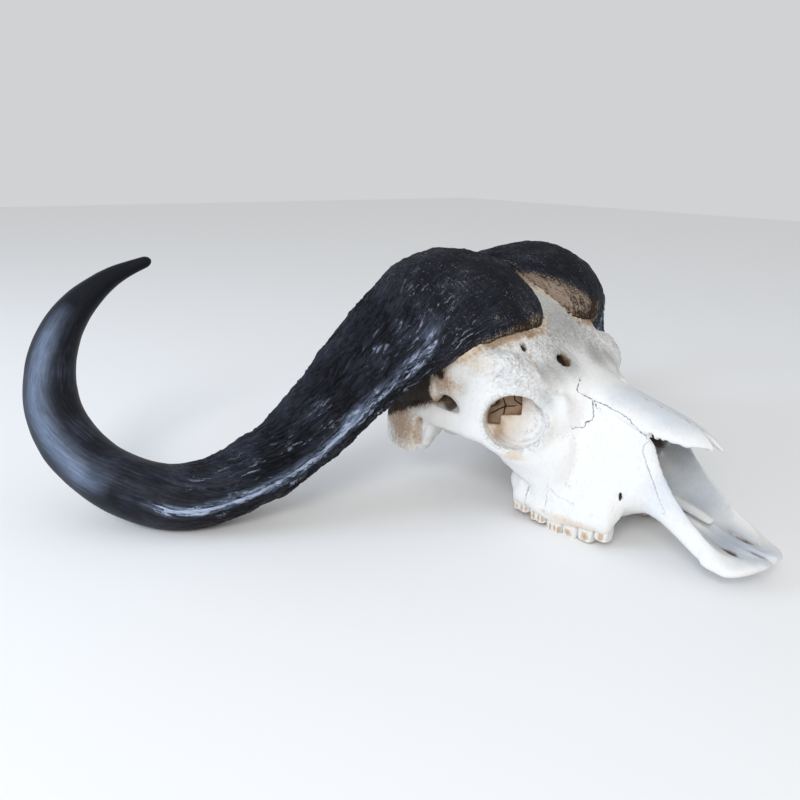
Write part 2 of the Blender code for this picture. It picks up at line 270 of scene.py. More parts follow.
def gums(bone):
    """The ridge that holds the cheek teeth, with a swelling over each root."""
    tube(bone, (
        (52, 158, 11, 5, 9), (56, 167, 3, 9, 14), (58, 195, -2, 12, 18),
        (61, 245, -4, 13.5, 18), (62, 280, -2, 13.5, 16), (62, 290, 6, 10, 13),
    ), ease=10)
    tube(bone, (
        (60, 163, -7, 6, 8), (65, 183, -11, 6, 8), (68, 201, -14, 6, 8), (71, 225, -18, 6, 8),
        (73, 252, -14, 6, 8), (73, 282, -9, 6, 8),
    ), ease=7)
    for x, y in ((61, 166), (64, 183), (68, 201), (70, 224), (72, 249), (72, 276)):
        tube(bone, ((x, y, -14, 5, 4), (x, y, 0, 4.5, 4.5), (x - 3, y, 14, 3, 3)), ease=10)


def nose(bone):
    loft(bone, (
        (2, 2, 80, 16, 50, 2.4), (12, -1, 80, 34, 56, 2.6), (29, -3, 82, 50, 58, 3.2),
        (46, -2, 86, 49, 51, 3.2), (70, 4, 94, 43, 44, 3.0),
        (100, 13, 100, 41, 33, 2.7), (140, 22, 109, 39, 28, 2.5), (190, 36, 112, 42, 28, 2.5),
        (225, 60, 100, 30, 20, 2.5),
    ), hollow=True, ease=2.0)
    loft(bone, (
        (76, 91, 97, 12, 7, 2.2), (84, 92, 103, 18, 9, 2.2), (96, 92, 110, 27, 12, 2.2),
        (112, 93, 115.5, 34, 17, 2.2), (140, 94, 122, 43, 23, 2.2), (175, 102, 129, 43, 26, 2.2),
        (210, 108, 137, 40, 28, 2.2), (250, 106, 150, 44, 34, 2.2),
    ), ease=2.5)
    loft(bone, (
        (60, 78, 93, 14, 4, 2.4), (84, 80, 98.5, 22, 6, 2.2), (96, 80, 105, 26, 9, 2.2),
        (112, 80, 110.5, 30, 13, 2.2), (140, 80, 117, 34, 18, 2.2), (170, 80, 118, 34, 18, 2.2),
    ), hollow=True, ease=1.5)
    tube(bone, ((0, 66, 98, 9, 14), (0, 84, 100, 4, 14), (0, 98, 102, 0.8, 14)), hollow=True,
         ease=1.5)


def nose_floor(bone):
    """The hollow under the muzzle, the two bars of the premaxillae, the vomer and shelves inside."""
    loft(bone, (
        (12, -40, -8, 18, 12, 2.2), (28, -46, -8, 40, 28, 2.2), (48, -42, -7, 42, 30, 2.2),
        (70, -38, -2, 36, 22, 2.2), (90, -34, 2, 28, 14, 2.2),
    ), hollow=True, ease=3)
    tube(bone, ((7, 9, -5, 3.2, 3.6), (7, 30, -3, 3.4, 4), (7, 52, -0.5, 3.8, 4.5), (7.5, 76, 5, 4, 4.5),
                (8, 120, 14, 6, 5)), ease=2)
    tube(bone, ((0, 74, 14, 6, 3), (0, 100, 20, 8, 4), (0, 150, 28, 9, 6), (0, 215, 44, 8, 12)),
         ease=3)
    for x, y, z, size in ((24, 168, 74, 9), (20, 172, 92, 8), (30, 176, 58, 7)):
        tube(bone, ((x, y - 14, z - 2, size, 3), (x, y + 10, z, size, 6), (x, y + 50, z, size, 9)),
             ease=2)


# %% [markdown]
# Behind the face are the orbits, deep bowls with a raised rim, then the forehead that carries the
# horns, the braincase, the cheek arch and the bones of the ear and the neck joint.

# %% The orbits, the forehead and the braincase
ORBIT_CENTRE = np.array((96.4, 277.6, 90.0))
ORBIT_AXIS = np.array((0.82, -0.54, 0.20)) / np.linalg.norm((0.82, -0.54, 0.20))
ORBIT_RADIUS = 36.0
BOWL_DEPTH = 23.0
ORBIT_FLATTENED = 0.875
ORBIT_WINDOW = 64.0
ORBIT_FORWARD = np.cross(ORBIT_AXIS, (0.0, 0.0, 1.0))
ORBIT_FORWARD /= np.linalg.norm(ORBIT_FORWARD)
ORBIT_UP = np.cross(ORBIT_FORWARD, ORBIT_AXIS)


def orbit_points(radius, depth, count=16):
    """Points round a circle about the orbit's axis, at a depth below its mouth."""
    turns = np.linspace(0, 2 * math.pi, count + 1)
    centre = ORBIT_CENTRE - ORBIT_AXIS * depth
    round_it = (np.cos(turns)[:, None] * ORBIT_FORWARD
                + ORBIT_FLATTENED * np.sin(turns)[:, None] * ORBIT_UP)
    return centre + radius * round_it


def orbit_places(x, y, z):
    """Forward, up and into the orbit, from the middle of its mouth."""
    offset = (x - ORBIT_CENTRE[0], y - ORBIT_CENTRE[1], z - ORBIT_CENTRE[2])
    return [sum(part * way for part, way in zip(offset, axis))
            for axis in (ORBIT_FORWARD, ORBIT_UP, -ORBIT_AXIS)]


def orbit_window(bone):
    """The grid round an orbit: forward and up in its plane, how deep, and how far from its middle."""
    part, x, y, z = bone.window(ORBIT_CENTRE - ORBIT_WINDOW, ORBIT_CENTRE + ORBIT_WINDOW)
    forward, up, depth = orbit_places(x, y, z)
    return part, forward, up, depth, np.hypot(forward, up / ORBIT_FLATTENED)


def beyond_bowl(across, depth):
    """How far a place lies behind the white bowl of the orbit, less than nought in front of it."""
    sunk = np.hypot(across / ORBIT_RADIUS, np.maximum(depth, 0) / BOWL_DEPTH)
    return (sunk - 1) * BOWL_DEPTH


def orbit(bone):
    ball(bone, (88, 294, 128), (16, 20, 16), ease=12)
    part, forward, up, depth, across = orbit_window(bone)
    socket = np.maximum(across - ORBIT_RADIUS - 4, np.maximum(-1 - depth, depth - 46))
    bone.join(part, socket.astype(np.float32), 16)
    rim = [(*point, 2.7, 2.7) for point in orbit_points(ORBIT_RADIUS + 2.0, -1.5)]
    tube(bone, rim, ease=6, pieces=2)


def orbit_hollow(bone):
    """A white bowl in front, and a stepped opening in it to the brown plates that lie deeper."""
    part, forward, up, depth, across = orbit_window(bone)
    bowl = np.maximum(beyond_bowl(across, depth), -45 - depth)
    bowl = bowl + 0.5 * np.sin(depth * 1.1 + forward * 0.16) * (depth > 4)
    bone.carve(part, bowl.astype(np.float32), 1.5)
    upper = np.maximum(forward - 4.5, 5.5 + 0.1 * forward - up)
    lower = np.maximum(forward + 19, -8 - up)
    plates = np.minimum(depth - 28 - 0.30 * forward, depth - 35 + 0.25 * up)
    opening = np.maximum(np.maximum(np.minimum(upper, lower), across - ORBIT_RADIUS + 1.5), plates)
    opening = np.maximum(opening, 2 - depth)
    bone.carve(part, opening.astype(np.float32), 0.8)
    tube(bone, ((102, 309, 104, 3, 4), (88, 323, 102, 5, 5), (70, 337, 97, 8, 8)), hollow=True,
         ease=1)


def braincase(bone):
    loft(bone, (
        (228, 60, 138, 50, 44, 2.7), (255, 70, 152, 74, 60, 2.7), (282, 88, 176, 92, 74, 2.7),
        (305, 100, 202, 100, 80, 2.7), (335, 106, 222, 108, 92, 2.7), (370, 106, 237, 114, 98, 2.7),
        (405, 92, 241, 112, 100, 2.7), (440, 66, 222, 106, 92, 2.7), (468, 44, 196, 106, 76, 2.7),
        (484, 40, 164, 102, 60, 2.7), (490, 50, 140, 84, 50, 2.7),
    ), ease=14)
    loft(bone, (
        (296, 30, 150, 40, 70, 2.6), (345, 26, 150, 46, 60, 2.6), (400, 18, 150, 54, 64, 2.6),
        (450, 14, 150, 62, 78, 2.6), (488, 16, 120, 58, 70, 2.6),
    ), ease=12)


def horn_roots(bone):
    tube(bone, ((60, 395, 190, 74, 40), (92, 398, 180, 70, 40), (112, 402, 168, 56, 30)), ease=12)


def brow_and_arch(bone):
    tube(bone, ((52, 268, 132, 20, 16), (78, 280, 142, 18, 16), (95, 302, 152, 15, 16),
                (106, 335, 142, 12, 22), (110, 372, 130, 12, 22), (104, 408, 112, 15, 24)), ease=14)
    tube(bone, ((60, 228, 52, 12, 26), (78, 252, 54, 12, 20), (101, 281, 60, 12, 15),
                (116, 307, 70, 7.5, 12),
                (122, 335, 73, 5.5, 12.5), (124, 368, 74, 5.5, 12.5), (119, 392, 72, 8, 14),
                (100, 412, 72, 20, 16), (74, 416, 78, 20, 18)), ease=9)
    tube(bone, ((112, 398, 68, 9, 10), (109, 404, 46, 6.5, 9), (107, 413, 25, 5, 7)), ease=6)
    tube(bone, ((112, 402, 110, 14, 24), (119, 426, 102, 10, 20), (117, 456, 84, 8, 12)), ease=5)
    tube(bone, ((100, 318, 146, 20, 12), (111, 325, 114, 22, 9), (117, 323, 90, 17, 6.5),
                (120, 324, 70, 18, 6.5)), ease=9)
    tube(bone, ((58, 236, 104, 10, 22), (70, 252, 96, 10, 26), (74, 256, 74, 10, 22)), ease=14)
    tube(bone, ((91, 284, 48, 9, 14), (80, 264, 38, 10, 20), (68, 236, 30, 10, 24)), ease=16)
    tube(bone, ((106, 374, 112, 10, 12), (110, 354, 106, 9, 12), (112, 338, 94, 9, 10)), ease=10)


# %% [markdown]
# The back of the head has a crest round it and two knuckles that turned on the neck, with the hole
# for the spinal cord between them. The bulbs of the ears lie below, in front of the knuckles. The
# palate is a hollow between the two rows of teeth, and a thin plate runs back from it on each side.

# %% The back of the head and the palate
def back_of_head(bone):
    tube(bone, ((84, 450, 92, 38, 26), (98, 454, 62, 40, 20), (106, 458, 36, 35, 10),
                (108, 460, 10, 29, 7)), ease=8)
    tube(bone, ((0, 482, 204, 8, 8), (48, 484, 190, 8, 8), (92, 480, 150, 8, 8),
                (108, 474, 100, 8, 8), (112, 470, 60, 7, 7)), ease=9)
    ball(bone, (32, 490, 38), (17, 13, 24), lean=15, ease=5)
    ball(bone, (46, 428, 32), (13, 18, 14), ease=7)
    tube(bone, ((0, 478, 26, 20, 12), (0, 430, 24, 16, 10), (0, 380, 34, 14, 10)), ease=8)
    tube(bone, ((58, 468, 30, 8, 6), (62, 474, 12, 7, 5), (62, 476, 0, 4, 4)), ease=6)
    ball(bone, (0, 500, 56), (17, 40, 15), hollow=True, ease=4)
    tube(bone, ((97, 408, 62, 11, 16), (97, 420, 38, 11, 16), (100, 428, 18, 9, 12)), ease=6)
    tube(bone, ((112, 424, 52, 5, 6), (117, 425, 38, 9, 11), (121, 427, 10, 13, 18)), hollow=True,
         ease=3)


def palate(bone):
    tube(bone, ((29, 276, 34, 3.5, 36), (28, 330, 44, 3.5, 32), (26, 366, 50, 4.5, 22)), ease=5)
    loft(bone, (
        (84, -22, 2, 26, 10, 2.2), (130, -28, 5, 34, 14, 2.2), (170, -38, 0, 46, 30, 2.4),
        (230, -40, -1, 46, 32, 2.4), (286, -40, 3, 44, 28, 2.4), (300, -40, 10, 42, 24, 2.4),
    ), hollow=True, ease=3)
    loft(bone, (
        (266, 4, 40, 18, 16, 2.4), (300, -10, 62, 24, 20, 2.4), (352, -10, 66, 22, 18, 2.4),
        (372, 0, 50, 18, 16, 2.4),
    ), hollow=True, ease=3)


# %% [markdown]
# Small openings bring nerves and blood out to the skin: a slit above the first cheek tooth, a round
# hole on the forehead above each eye, and a small one beside it from which a groove runs down.

# %% Openings and grooves
def openings(bone):
    tube(bone, ((60, 151, 27, 0.8, 4.4), (44, 159, 26, 2.2, 6)), hollow=True, ease=0.6)
    tube(bone, ((57, 146, 30, 2, 2.4), (52, 138, 33, 2, 2.6), (48, 129, 35, 1.2, 1.6)), hollow=True,
         ease=5)
    tube(bone, ((72, 297, 180, 2.2, 2.6), (66, 300, 164, 3, 3)), hollow=True, ease=1.2)
    tube(bone, ((72, 297, 179, 2.4, 2.4), (69, 288, 168, 4.6, 4.6), (68, 271, 157, 5.6, 5.6),
                (68, 254, 144, 5.4, 5.4), (62, 245, 132, 3.4, 3.4)), hollow=True, ease=7)


# %% [markdown]
# The horns sit over bony cores that nobody sees, so the bone ends just inside each horn. The same
# stations make the horns later: the middle of each section, how far it reaches towards the crest and
# away from it, how thick it is above and below, how far both its edges droop, and the way to the
# crest.

# %% The horn's stations
HORN_STATIONS = (
    ((5, 402, 234), (18, 78, 13, 12, 2), (0.0, -0.98, -0.20)),
    ((20, 402, 234), (78, 84, 26, 18, 10), (0.0, -0.98, -0.20)),
    ((42, 401, 234), (109, 87, 33, 22, 17), (0.0, -0.97, -0.22)),
    ((90, 400, 231), (101, 86, 41, 26, 18), (0.0, -0.97, -0.24)),
    ((130, 404, 209), (81, 71, 50, 30, 10), (-0.15, -0.90, -0.38)),
    ((168, 414, 178), (67, 59, 47, 36, 4), (-0.4, -0.75, -0.55)),
    ((208, 428, 139), (58, 50, 43, 37, 0), (-0.55, -0.6, -0.58)),
    ((252, 443, 89), (51, 44, 41, 37, 0), (-0.55, -0.6, -0.5)),
    ((300, 459, 43), (45, 42, 40, 37, 0), (-0.45, -0.75, -0.4)),
    ((355, 482, 9), (41, 40, 39, 38, 0), (-0.2, -0.9, -0.3)),
    ((402, 509, -6), (39, 39, 39, 39, 0), (0.0, -0.9, -0.1)),
    ((440, 547, -2), (37, 37, 37, 37, 0), (0.4, -0.9, 0.0)),
    ((470, 590, 17), (35, 35, 35, 35, 0), (0.8, -0.6, 0.0)),
    ((489, 628, 48), (34, 34, 34, 34, 0), (0.9, -0.3, 0.0)),
    ((494, 658, 90), (31, 31, 31, 31, 0), (1.0, 0.0, 0.0)),
    ((478, 685, 140), (27, 27, 27, 27, 0), (0.9, 0.0, 0.3)),
    ((443, 701, 186), (21, 21, 21, 21, 0), (0.7, 0.0, 0.7)),
    ((396, 702, 221), (12.5, 12.5, 12.5, 12.5, 0), (0.5, 0.0, 0.8)),
    ((345, 690.5, 243), (6.5, 6.5, 6.5, 6.5, 0), (0.4, 0.0, 0.9)),
)
CORE_INSIDE = 3.0
CORE_STATIONS = 8
CORE_PIECES = 4
CORE_MIDDLE = -15.0


def unit(rows):
    return rows / np.linalg.norm(rows, axis=1, keepdims=True)


def horn_frames(pieces, tip_drop=0.0):
    """Middles, sizes and the along, crest and outer directions at many places along a horn."""
    rows = np.array([[*middle, *sizes, *crest] for middle, sizes, crest in HORN_STATIONS])
    rows[-1, 2] -= tip_drop
    rows[-2, 2] -= tip_drop / 2
    path = smooth_path(rows, pieces)
    middles, sizes, crests = path[:, :3], path[:, 3:8], path[:, 8:]
    along = unit(np.gradient(middles, axis=0))
    crests = unit(crests - along * (crests * along).sum(1, keepdims=True))
    return middles, sizes, along, crests, np.cross(crests, along)


def horn_seat(bone):
    """Ends the bone just inside the horn."""
    middles, sizes, along, crests, outers = horn_frames(CORE_PIECES)
    for k in range(CORE_STATIONS * CORE_PIECES):
        middle, size, way, crest, outer = (rows[k] for rows in
                                           (middles, sizes, along, crests, outers))
        step = np.linalg.norm(middles[k + 1] - middle)
        reach = max(size[:2]) + 8
        part, x, y, z = bone.window(middle - reach, middle + reach)
        px, py, pz = x - middle[0], y - middle[1], z - middle[2]
        u = px * crest[0] + py * crest[1] + pz * crest[2]
        v = px * outer[0] + py * outer[1] + pz * outer[2]
        w = px * way[0] + py * way[1] + pz * way[2]
        wide = np.where(u > 0, size[0], size[1]) - CORE_INSIDE
        v = v + size[4] * (u / wide) ** 2
        thick = np.where(v > 0, size[2], size[3]) - CORE_INSIDE
        ratio = np.sqrt((u / wide) ** 2 + (v / thick) ** 2)
        inside = from_surface(ratio, np.sqrt(u * u + v * v), CORE_MIDDLE)
        distance = np.maximum(inside, np.abs(w) - step * 0.8)
        bone.carve(part, distance.astype(np.float32), 0.5)


# %% [markdown]
# The order matters, because a form fills any hollow that was cut before it. The large solid forms
# come first, then the hollows of the palate and the nose. The nasals, the bars and the vomer are
# joined after those, and the orbits, the small openings and the seats of the horns are cut last.

# %% Put the bone together
def whole_bone():
    bone = Bone()
    face(bone)
    gums(bone)
    orbit(bone)
    braincase(bone)
    horn_roots(bone)
    brow_and_arch(bone)
    back_of_head(bone)
    palate(bone)
    nose(bone)
    nose_floor(bone)
    orbit_hollow(bone)
    openings(bone)
    horn_seat(bone)
    return bone


bone = whole_bone()
print("grid points in half the head:", bone.field.size)

# %% [markdown]
# ## Nodes written as sums
#
# Materials and Geometry Nodes are both trees of small nodes. Building them with the mouse is slow to
# repeat, so one small class holds the output of a node. A sum on it, such as `1 - mask`, adds the
# Math node that works it out, and its method `add` makes a node of any other kind.

# %% A wire is the output of a node
class Wire:
    """One output in a tree of nodes."""

    def __init__(self, tree, socket=None):
        self.tree = tree
        self.socket = socket

    def add(self, kind, inputs=(), out=0, **settings):
        """A node of the same tree: its kind, what feeds its sockets, and its settings."""
        node = self.tree.nodes.new(kind)
        for name, value in settings.items():
            setattr(node, name, value)
        for name, value in dict(inputs).items():
            if isinstance(value, Wire):
                self.tree.links.new(value.socket, node.inputs[name])
            else:
                node.inputs[name].default_value = value
        return Wire(self.tree, node.outputs[out])

    def maths(self, operation, *values):
        return self.add("ShaderNodeMath", enumerate(values), operation=operation)

    def __add__(self, other):
        return self.maths("ADD", self, other)

    def __radd__(self, other):
        return self.maths("ADD", other, self)

    def __sub__(self, other):
        return self.maths("SUBTRACT", self, other)

    def __rsub__(self, other):
        return self.maths("SUBTRACT", other, self)

    def __mul__(self, other):
        return self.maths("MULTIPLY", self, other)

    def __rmul__(self, other):
        return self.maths("MULTIPLY", other, self)

    def __abs__(self):
        return self.maths("ABSOLUTE", self)

    def eased(self, low, high):
        """Nought below low and one above high, or the other way round, with a soft step."""
        return self.add("ShaderNodeMapRange", {"Value": self, "From Min": low, "From Max": high},
                        interpolation_type="SMOOTHSTEP")

    def mix(self, first, second):
        """The first colour where this mask is nought and the second where it is one."""
        return self.add("ShaderNodeMix", {0: self, 6: first, 7: second}, out=2, data_type="RGBA")

    def noise(self, size, detail=3.0, rough=0.5, warp=0.0):
        """Cloudy noise from 0 to 1 on this vector, with blots of about a size in its own units."""
        return self.add("ShaderNodeTexNoise", {"Vector": self, "Scale": 1 / size, "Detail": detail,
                                               "Roughness": rough, "Distortion": warp})

    def stretched(self, *sizes):
        """This vector with each axis divided by a size, so that noise on it is drawn out."""
        return self.add("ShaderNodeVectorMath", {0: self, 1: [1 / size for size in sizes]},
                        operation="MULTIPLY")

    def cells(self, size, feature="F1"):
        """Distance to the nearest of many scattered points, about a size apart."""
        return self.add("ShaderNodeTexVoronoi", {"Vector": self, "Scale": 1 / size}, feature=feature)

    def attribute(self, name):
        """A number that the mesh keeps at each of its points."""
        if self.tree.type == "SHADER":
            return self.add("ShaderNodeAttribute", attribute_name=name, out=2)
        return self.add("GeometryNodeInputNamedAttribute", {"Name": name}, data_type="FLOAT")

    def attribute_vector(self, name):
        if self.tree.type == "SHADER":
            return self.add("ShaderNodeAttribute", attribute_name=name, out=1)
        return self.add("GeometryNodeInputNamedAttribute", {"Name": name}, data_type="FLOAT_VECTOR")


# %% [markdown]
# A relief tree moves each point of a mesh along its normal. Its heights are named inputs in
# millimetres, so the same tree can be used with other values. Below z = 0 a point is put back on the
# table. The evaluated result becomes a plain mesh, and the modifier is removed.

# %% Trees that raise a relief
OVER_TABLE = (-9, -9, 0)


def relief_tree(name, sizes, height_of):
    """A Geometry Nodes tree; height_of gives the height in mm from a wire and the named inputs."""
    tree = bpy.data.node_groups.new(name, "GeometryNodeTree")
    tree.interface.new_socket("Geometry", in_out="INPUT", socket_type="NodeSocketGeometry")
    for label, size in sizes.items():
        tree.interface.new_socket(label, in_out="INPUT",
                                  socket_type="NodeSocketFloat").default_value = size
    tree.interface.new_socket("Finish", in_out="INPUT", socket_type="NodeSocketMaterial")
    tree.interface.new_socket("Geometry", in_out="OUTPUT", socket_type="NodeSocketGeometry")
    start = tree.nodes.new("NodeGroupInput")
    given = {socket.name: Wire(tree, socket) for socket in start.outputs if socket.name}
    here = Wire(tree)
    place = here.add("GeometryNodeInputPosition")
    spot = here.add("ShaderNodeVectorMath", {0: place, "Scale": 1 / MM}, operation="SCALE")
    height = height_of(here, spot, given)
    normal = here.add("GeometryNodeInputNormal")
    push = here.add("ShaderNodeVectorMath", {0: normal, "Scale": height * MM}, operation="SCALE")
    raised = here.add("GeometryNodeSetPosition", {"Geometry": given["Geometry"], "Offset": push})
    on_ground = here.add("ShaderNodeVectorMath", {0: place, 1: OVER_TABLE}, operation="MAXIMUM")
    rested = here.add("GeometryNodeSetPosition", {"Geometry": raised, "Position": on_ground})
    realized = here.add("GeometryNodeRealizeInstances", {"Geometry": rested})
    finished = here.add("GeometryNodeSetMaterial", {"Geometry": realized,
                                                    "Material": given["Finish"]})
    end = tree.nodes.new("NodeGroupOutput")
    tree.links.new(finished.socket, end.inputs["Geometry"])
    return tree


def raise_relief(piece, tree, values):
    """Sets the tree's inputs by their identifiers, and keeps the result as a plain mesh."""
    modifier = piece.modifiers.new("relief", "NODES")
    modifier.node_group = tree
    for item in tree.interface.items_tree:
        if item.in_out == "INPUT" and item.name in values:
            modifier[item.identifier] = values[item.name]
    keep_result(piece)


def keep_result(piece):
    """Replaces a piece's mesh by what its modifiers make of it."""
    depsgraph = bpy.context.evaluated_depsgraph_get()
    made = bpy.data.meshes.new_from_object(piece.evaluated_get(depsgraph),
                                           preserve_all_data_layers=True, depsgraph=depsgraph)
    piece.modifiers.clear()
    old, piece.data = piece.data, made
    made.name = piece.name
    bpy.data.meshes.remove(old)


def note(piece, name, values):
    """Keeps one number, or one vector, at each point of a mesh."""
    values = np.asarray(values, np.float32)
    kind, field = ("FLOAT", "value") if values.ndim == 1 else ("FLOAT_VECTOR", "vector")
    layer = piece.data.attributes.get(name) or piece.data.attributes.new(name, kind, "POINT")
    layer.data.foreach_set(field, values.ravel())


# %% [markdown]
# Every finish starts the same way: a new material, its Principled shader, and the place of each point
# in the skull's own millimetres. A Mapping node undoes the resting tilt, so a mark described on the
# skull stays where it belongs.

# %% Start a finish
def new_finish(name, **settings):
    """A material, a wire in it, its shader node and the place of each point on the skull."""
    material = bpy.data.materials.new(name)
    material.use_nodes = True
    shader = material.node_tree.nodes["Principled BSDF"]
    for socket, value in settings.items():
        shader.inputs[socket.replace("_", " ")].default_value = value
    here = Wire(material.node_tree)
    place = here.add("ShaderNodeTexCoord", out=3)
    turn = Matrix.Rotation(-BACK_RAISED, 3, "X")
    shift = turn @ Vector((0.0, MUZZLE_FROM_MIDDLE, -PALATE_ABOVE_GROUND))
    spot = here.add("ShaderNodeMapping", {"Vector": place, "Scale": (1 / MM,) * 3,
                                          "Rotation": (-BACK_RAISED, 0, 0), "Location": shift})
    return material, here, shader, spot


def finish_with(material, shader, colour, roughness, relief, strength):
    """Links colour and roughness, and a relief in millimetres through a Bump node."""
    here = Wire(material.node_tree)
    bump = here.add("ShaderNodeBump", {"Height": relief, "Strength": strength, "Distance": MM})
    for name, wire in (("Base Color", colour), ("Roughness", roughness), ("Normal", bump)):
        material.node_tree.links.new(wire.socket, shader.inputs[name])
    return material


def layered(ground, *layers):
    """A colour with others laid over it, each through its own mask."""
    for mask, colour in layers:
        ground = mask.mix(ground, colour)
    return ground


# %% [markdown]
# ## What the bone remembers
#
# Hollows are painted darker, partly as dirt and partly as painted shade, and ridges stay light. How
# hollow a place is follows from the field: the share of bone in a box round it is more than a half in
# a hollow and less on a ridge. The shares are worked out once, for a small box and a large one, and
# each point of the mesh keeps the reading where it is.

# %% Shares of bone nearby
SMALL_BOX = 3
LARGE_BOX = 9


def blurred(share, reach):
    """The mean over a box of so many grid steps each way."""
    for axis in range(3):
        for _ in range(2):
            padding = [(0, 0)] * 3
            padding[axis] = (reach + 1, reach)
            sums = np.cumsum(np.pad(share, padding, mode="edge"), axis=axis, dtype=np.float64)
            count = share.shape[axis]
            high = np.take(sums, np.arange(2 * reach + 1, count + 2 * reach + 1), axis=axis)
            low = np.take(sums, np.arange(0, count), axis=axis)
            share = ((high - low) / (2 * reach + 1)).astype(np.float32)
    return share


def on_left(points):
    """The same points, with those of the right half moved to their mirror places."""
    return np.abs(points) * (1, 0, 0) + points * (0, 1, 1)


def read_grid(grid, bone, points):
    """Trilinear readings of the left half's grid, at points of either half."""
    places = on_left(points)
    steps = np.stack([(places[:, k] - bone.axes[k][0]) / VOXEL for k in range(3)], axis=1)
    steps = np.clip(steps, 0, np.array(grid.shape) - 1.001)
    low = steps.astype(int)
    part = steps - low
    total = np.zeros(len(points))
    for corner in range(8):
        bits = [(corner >> k) & 1 for k in range(3)]
        weight = np.prod([part[:, k] if bits[k] else 1 - part[:, k] for k in range(3)], axis=0)
        total += weight * grid[tuple(low[:, k] + bits[k] for k in range(3))]
    return total


def whole_share(bone, reach):
    """The blurred share of bone, worked out with the other half in place."""
    share = np.clip(0.5 - bone.field / VOXEL, 0, 1)
    mirrored = np.concatenate((share[3 * reach:0:-1], share), axis=0)
    return blurred(mirrored, reach)[3 * reach:]


shares = {"near": whole_share(bone, SMALL_BOX), "wide": whole_share(bone, LARGE_BOX)}
print("share of bone, from", [round(float(grid.min()), 2) for grid in shares.values()])

# %% [markdown]
# The plates of a skull meet at sutures, fine wandering seams that fill with dirt. Each is a short row
# of points. A point of the mesh keeps how far it lies to one side of the nearest seam, and how near
# that is. The side matters: halfway between two mesh points the signed distance passes through
# nought, so the seam stays sharp although the mesh is coarser than the line.

# %% Sutures and cracks
SUTURES = (
    (1.0, (33, 239, 138), (41, 234, 128), (35, 216, 122), (34, 205, 120), (34, 187, 117), (34, 174, 114),
     (35, 164, 110), (33, 153, 102), (31, 147, 98)),
    (0.9, (35, 216, 122), (40, 212, 114), (43, 207, 105), (46, 208, 101), (49, 214, 98), (50, 214, 92),
     (54, 225, 89), (56, 233, 86), (59, 240, 82)),
    (0.5, (35, 144, 88), (38, 143, 82), (40, 137, 73), (42, 126, 58), (43, 116, 42), (41, 105, 23)),
    (0.5, (0, 84, 103), (0, 110, 116), (0, 150, 124), (0, 200, 136), (0, 240, 150)),
    (0.6, (77, 266, -8), (76, 265, 2), (75, 262, 12)), (0.5, (74, 238, -12), (74, 238, 4)),
    (0.4, (72, 250, 30), (74, 240, 20), (76, 225, 12), (74, 205, 8)),
)
SEAM_REACH = 14.0
SEAM_FACING = (0.75, -0.35, 0.55)


def seam_marks(points):
    """The signed distance to the nearest seam, and how near the seam is, from 0 to 1."""
    places = on_left(points)
    side = np.full(len(points), SEAM_REACH)
    nearest = np.full(len(points), SEAM_REACH)
    strength = np.zeros(len(points))
    for depth, *seam in SUTURES:
        rows = smooth_path(seam, 3)
        for start, end in zip(rows, rows[1:]):
            run = end - start
            length = np.linalg.norm(run)
            away = np.cross(run / length, SEAM_FACING)
            offset = places - start
            share = np.clip(offset @ run / length**2, 0, 1)
            gap = np.linalg.norm(offset - share[:, None] * run, axis=1)
            closer = gap < nearest
            nearest = np.where(closer, gap, nearest)
            side = np.where(closer, np.sign(offset @ away) * gap, side)
            strength = np.where(closer, depth, strength)
    return side, strength * np.clip(2 - 3 * nearest / SEAM_REACH, 0, 1)


# %% [markdown]
# The brown plates deep in the orbit are cracked. Their cracks are drawn flat, as seen from in front of
# the orbit, in millimetres forward and up from its middle.

# %% Cracks in the orbit
ORBIT_CRACKS = (
    ((-32, 3), (-24, 9), (-16, 13.5), (-5.5, 15)), ((-16, 13.5), (-19, 22)),
    ((-17, 11), (-18, -2)), ((-7, 31), (-5.5, 22), (0, 19), (8, 16)), ((8, 30), (5, 24)),
)


def orbit_marks(points):
    """How far behind an orbit's bowl a point lies, its distance to a crack, the shade painted in its bowl,
    its rim.
    """
    places = on_left(points)
    forward, up, depth = orbit_places(*places.T)
    across = np.hypot(forward, up / ORBIT_FLATTENED)
    inside = (across < ORBIT_RADIUS) & (depth > 3) & (depth < 60)
    nearest = np.full(len(points), SEAM_REACH)
    flat = np.stack((forward, up), axis=1)
    for crack in ORBIT_CRACKS:
        for start, end in zip(np.array(crack, float), np.array(crack[1:], float)):
            run = end - start
            offset = flat - start
            share = np.clip(offset @ run / (run @ run), 0, 1)
            far = np.hypot(*(offset - share[:, None] * run).T)
            far = np.where(run[0] * offset[:, 1] < run[1] * offset[:, 0], -far, far)
            nearest = np.where(np.abs(far) < np.abs(nearest), far, nearest)
    # Painted shade in the bowl of the orbit, darker towards its back and its top.
    shade = np.clip(0.55 - (forward - 0.6 * up) / 45, 0, 1) * np.clip((depth - 1) / 7, 0, 1)
    rim = np.exp(-((across - ORBIT_RADIUS - 2) / 5) ** 2) * (np.abs(depth) < 8)
    beyond = np.where(inside, beyond_bowl(across, depth), 0.0)
    return beyond, nearest, np.where(inside, shade, 0.0), rim
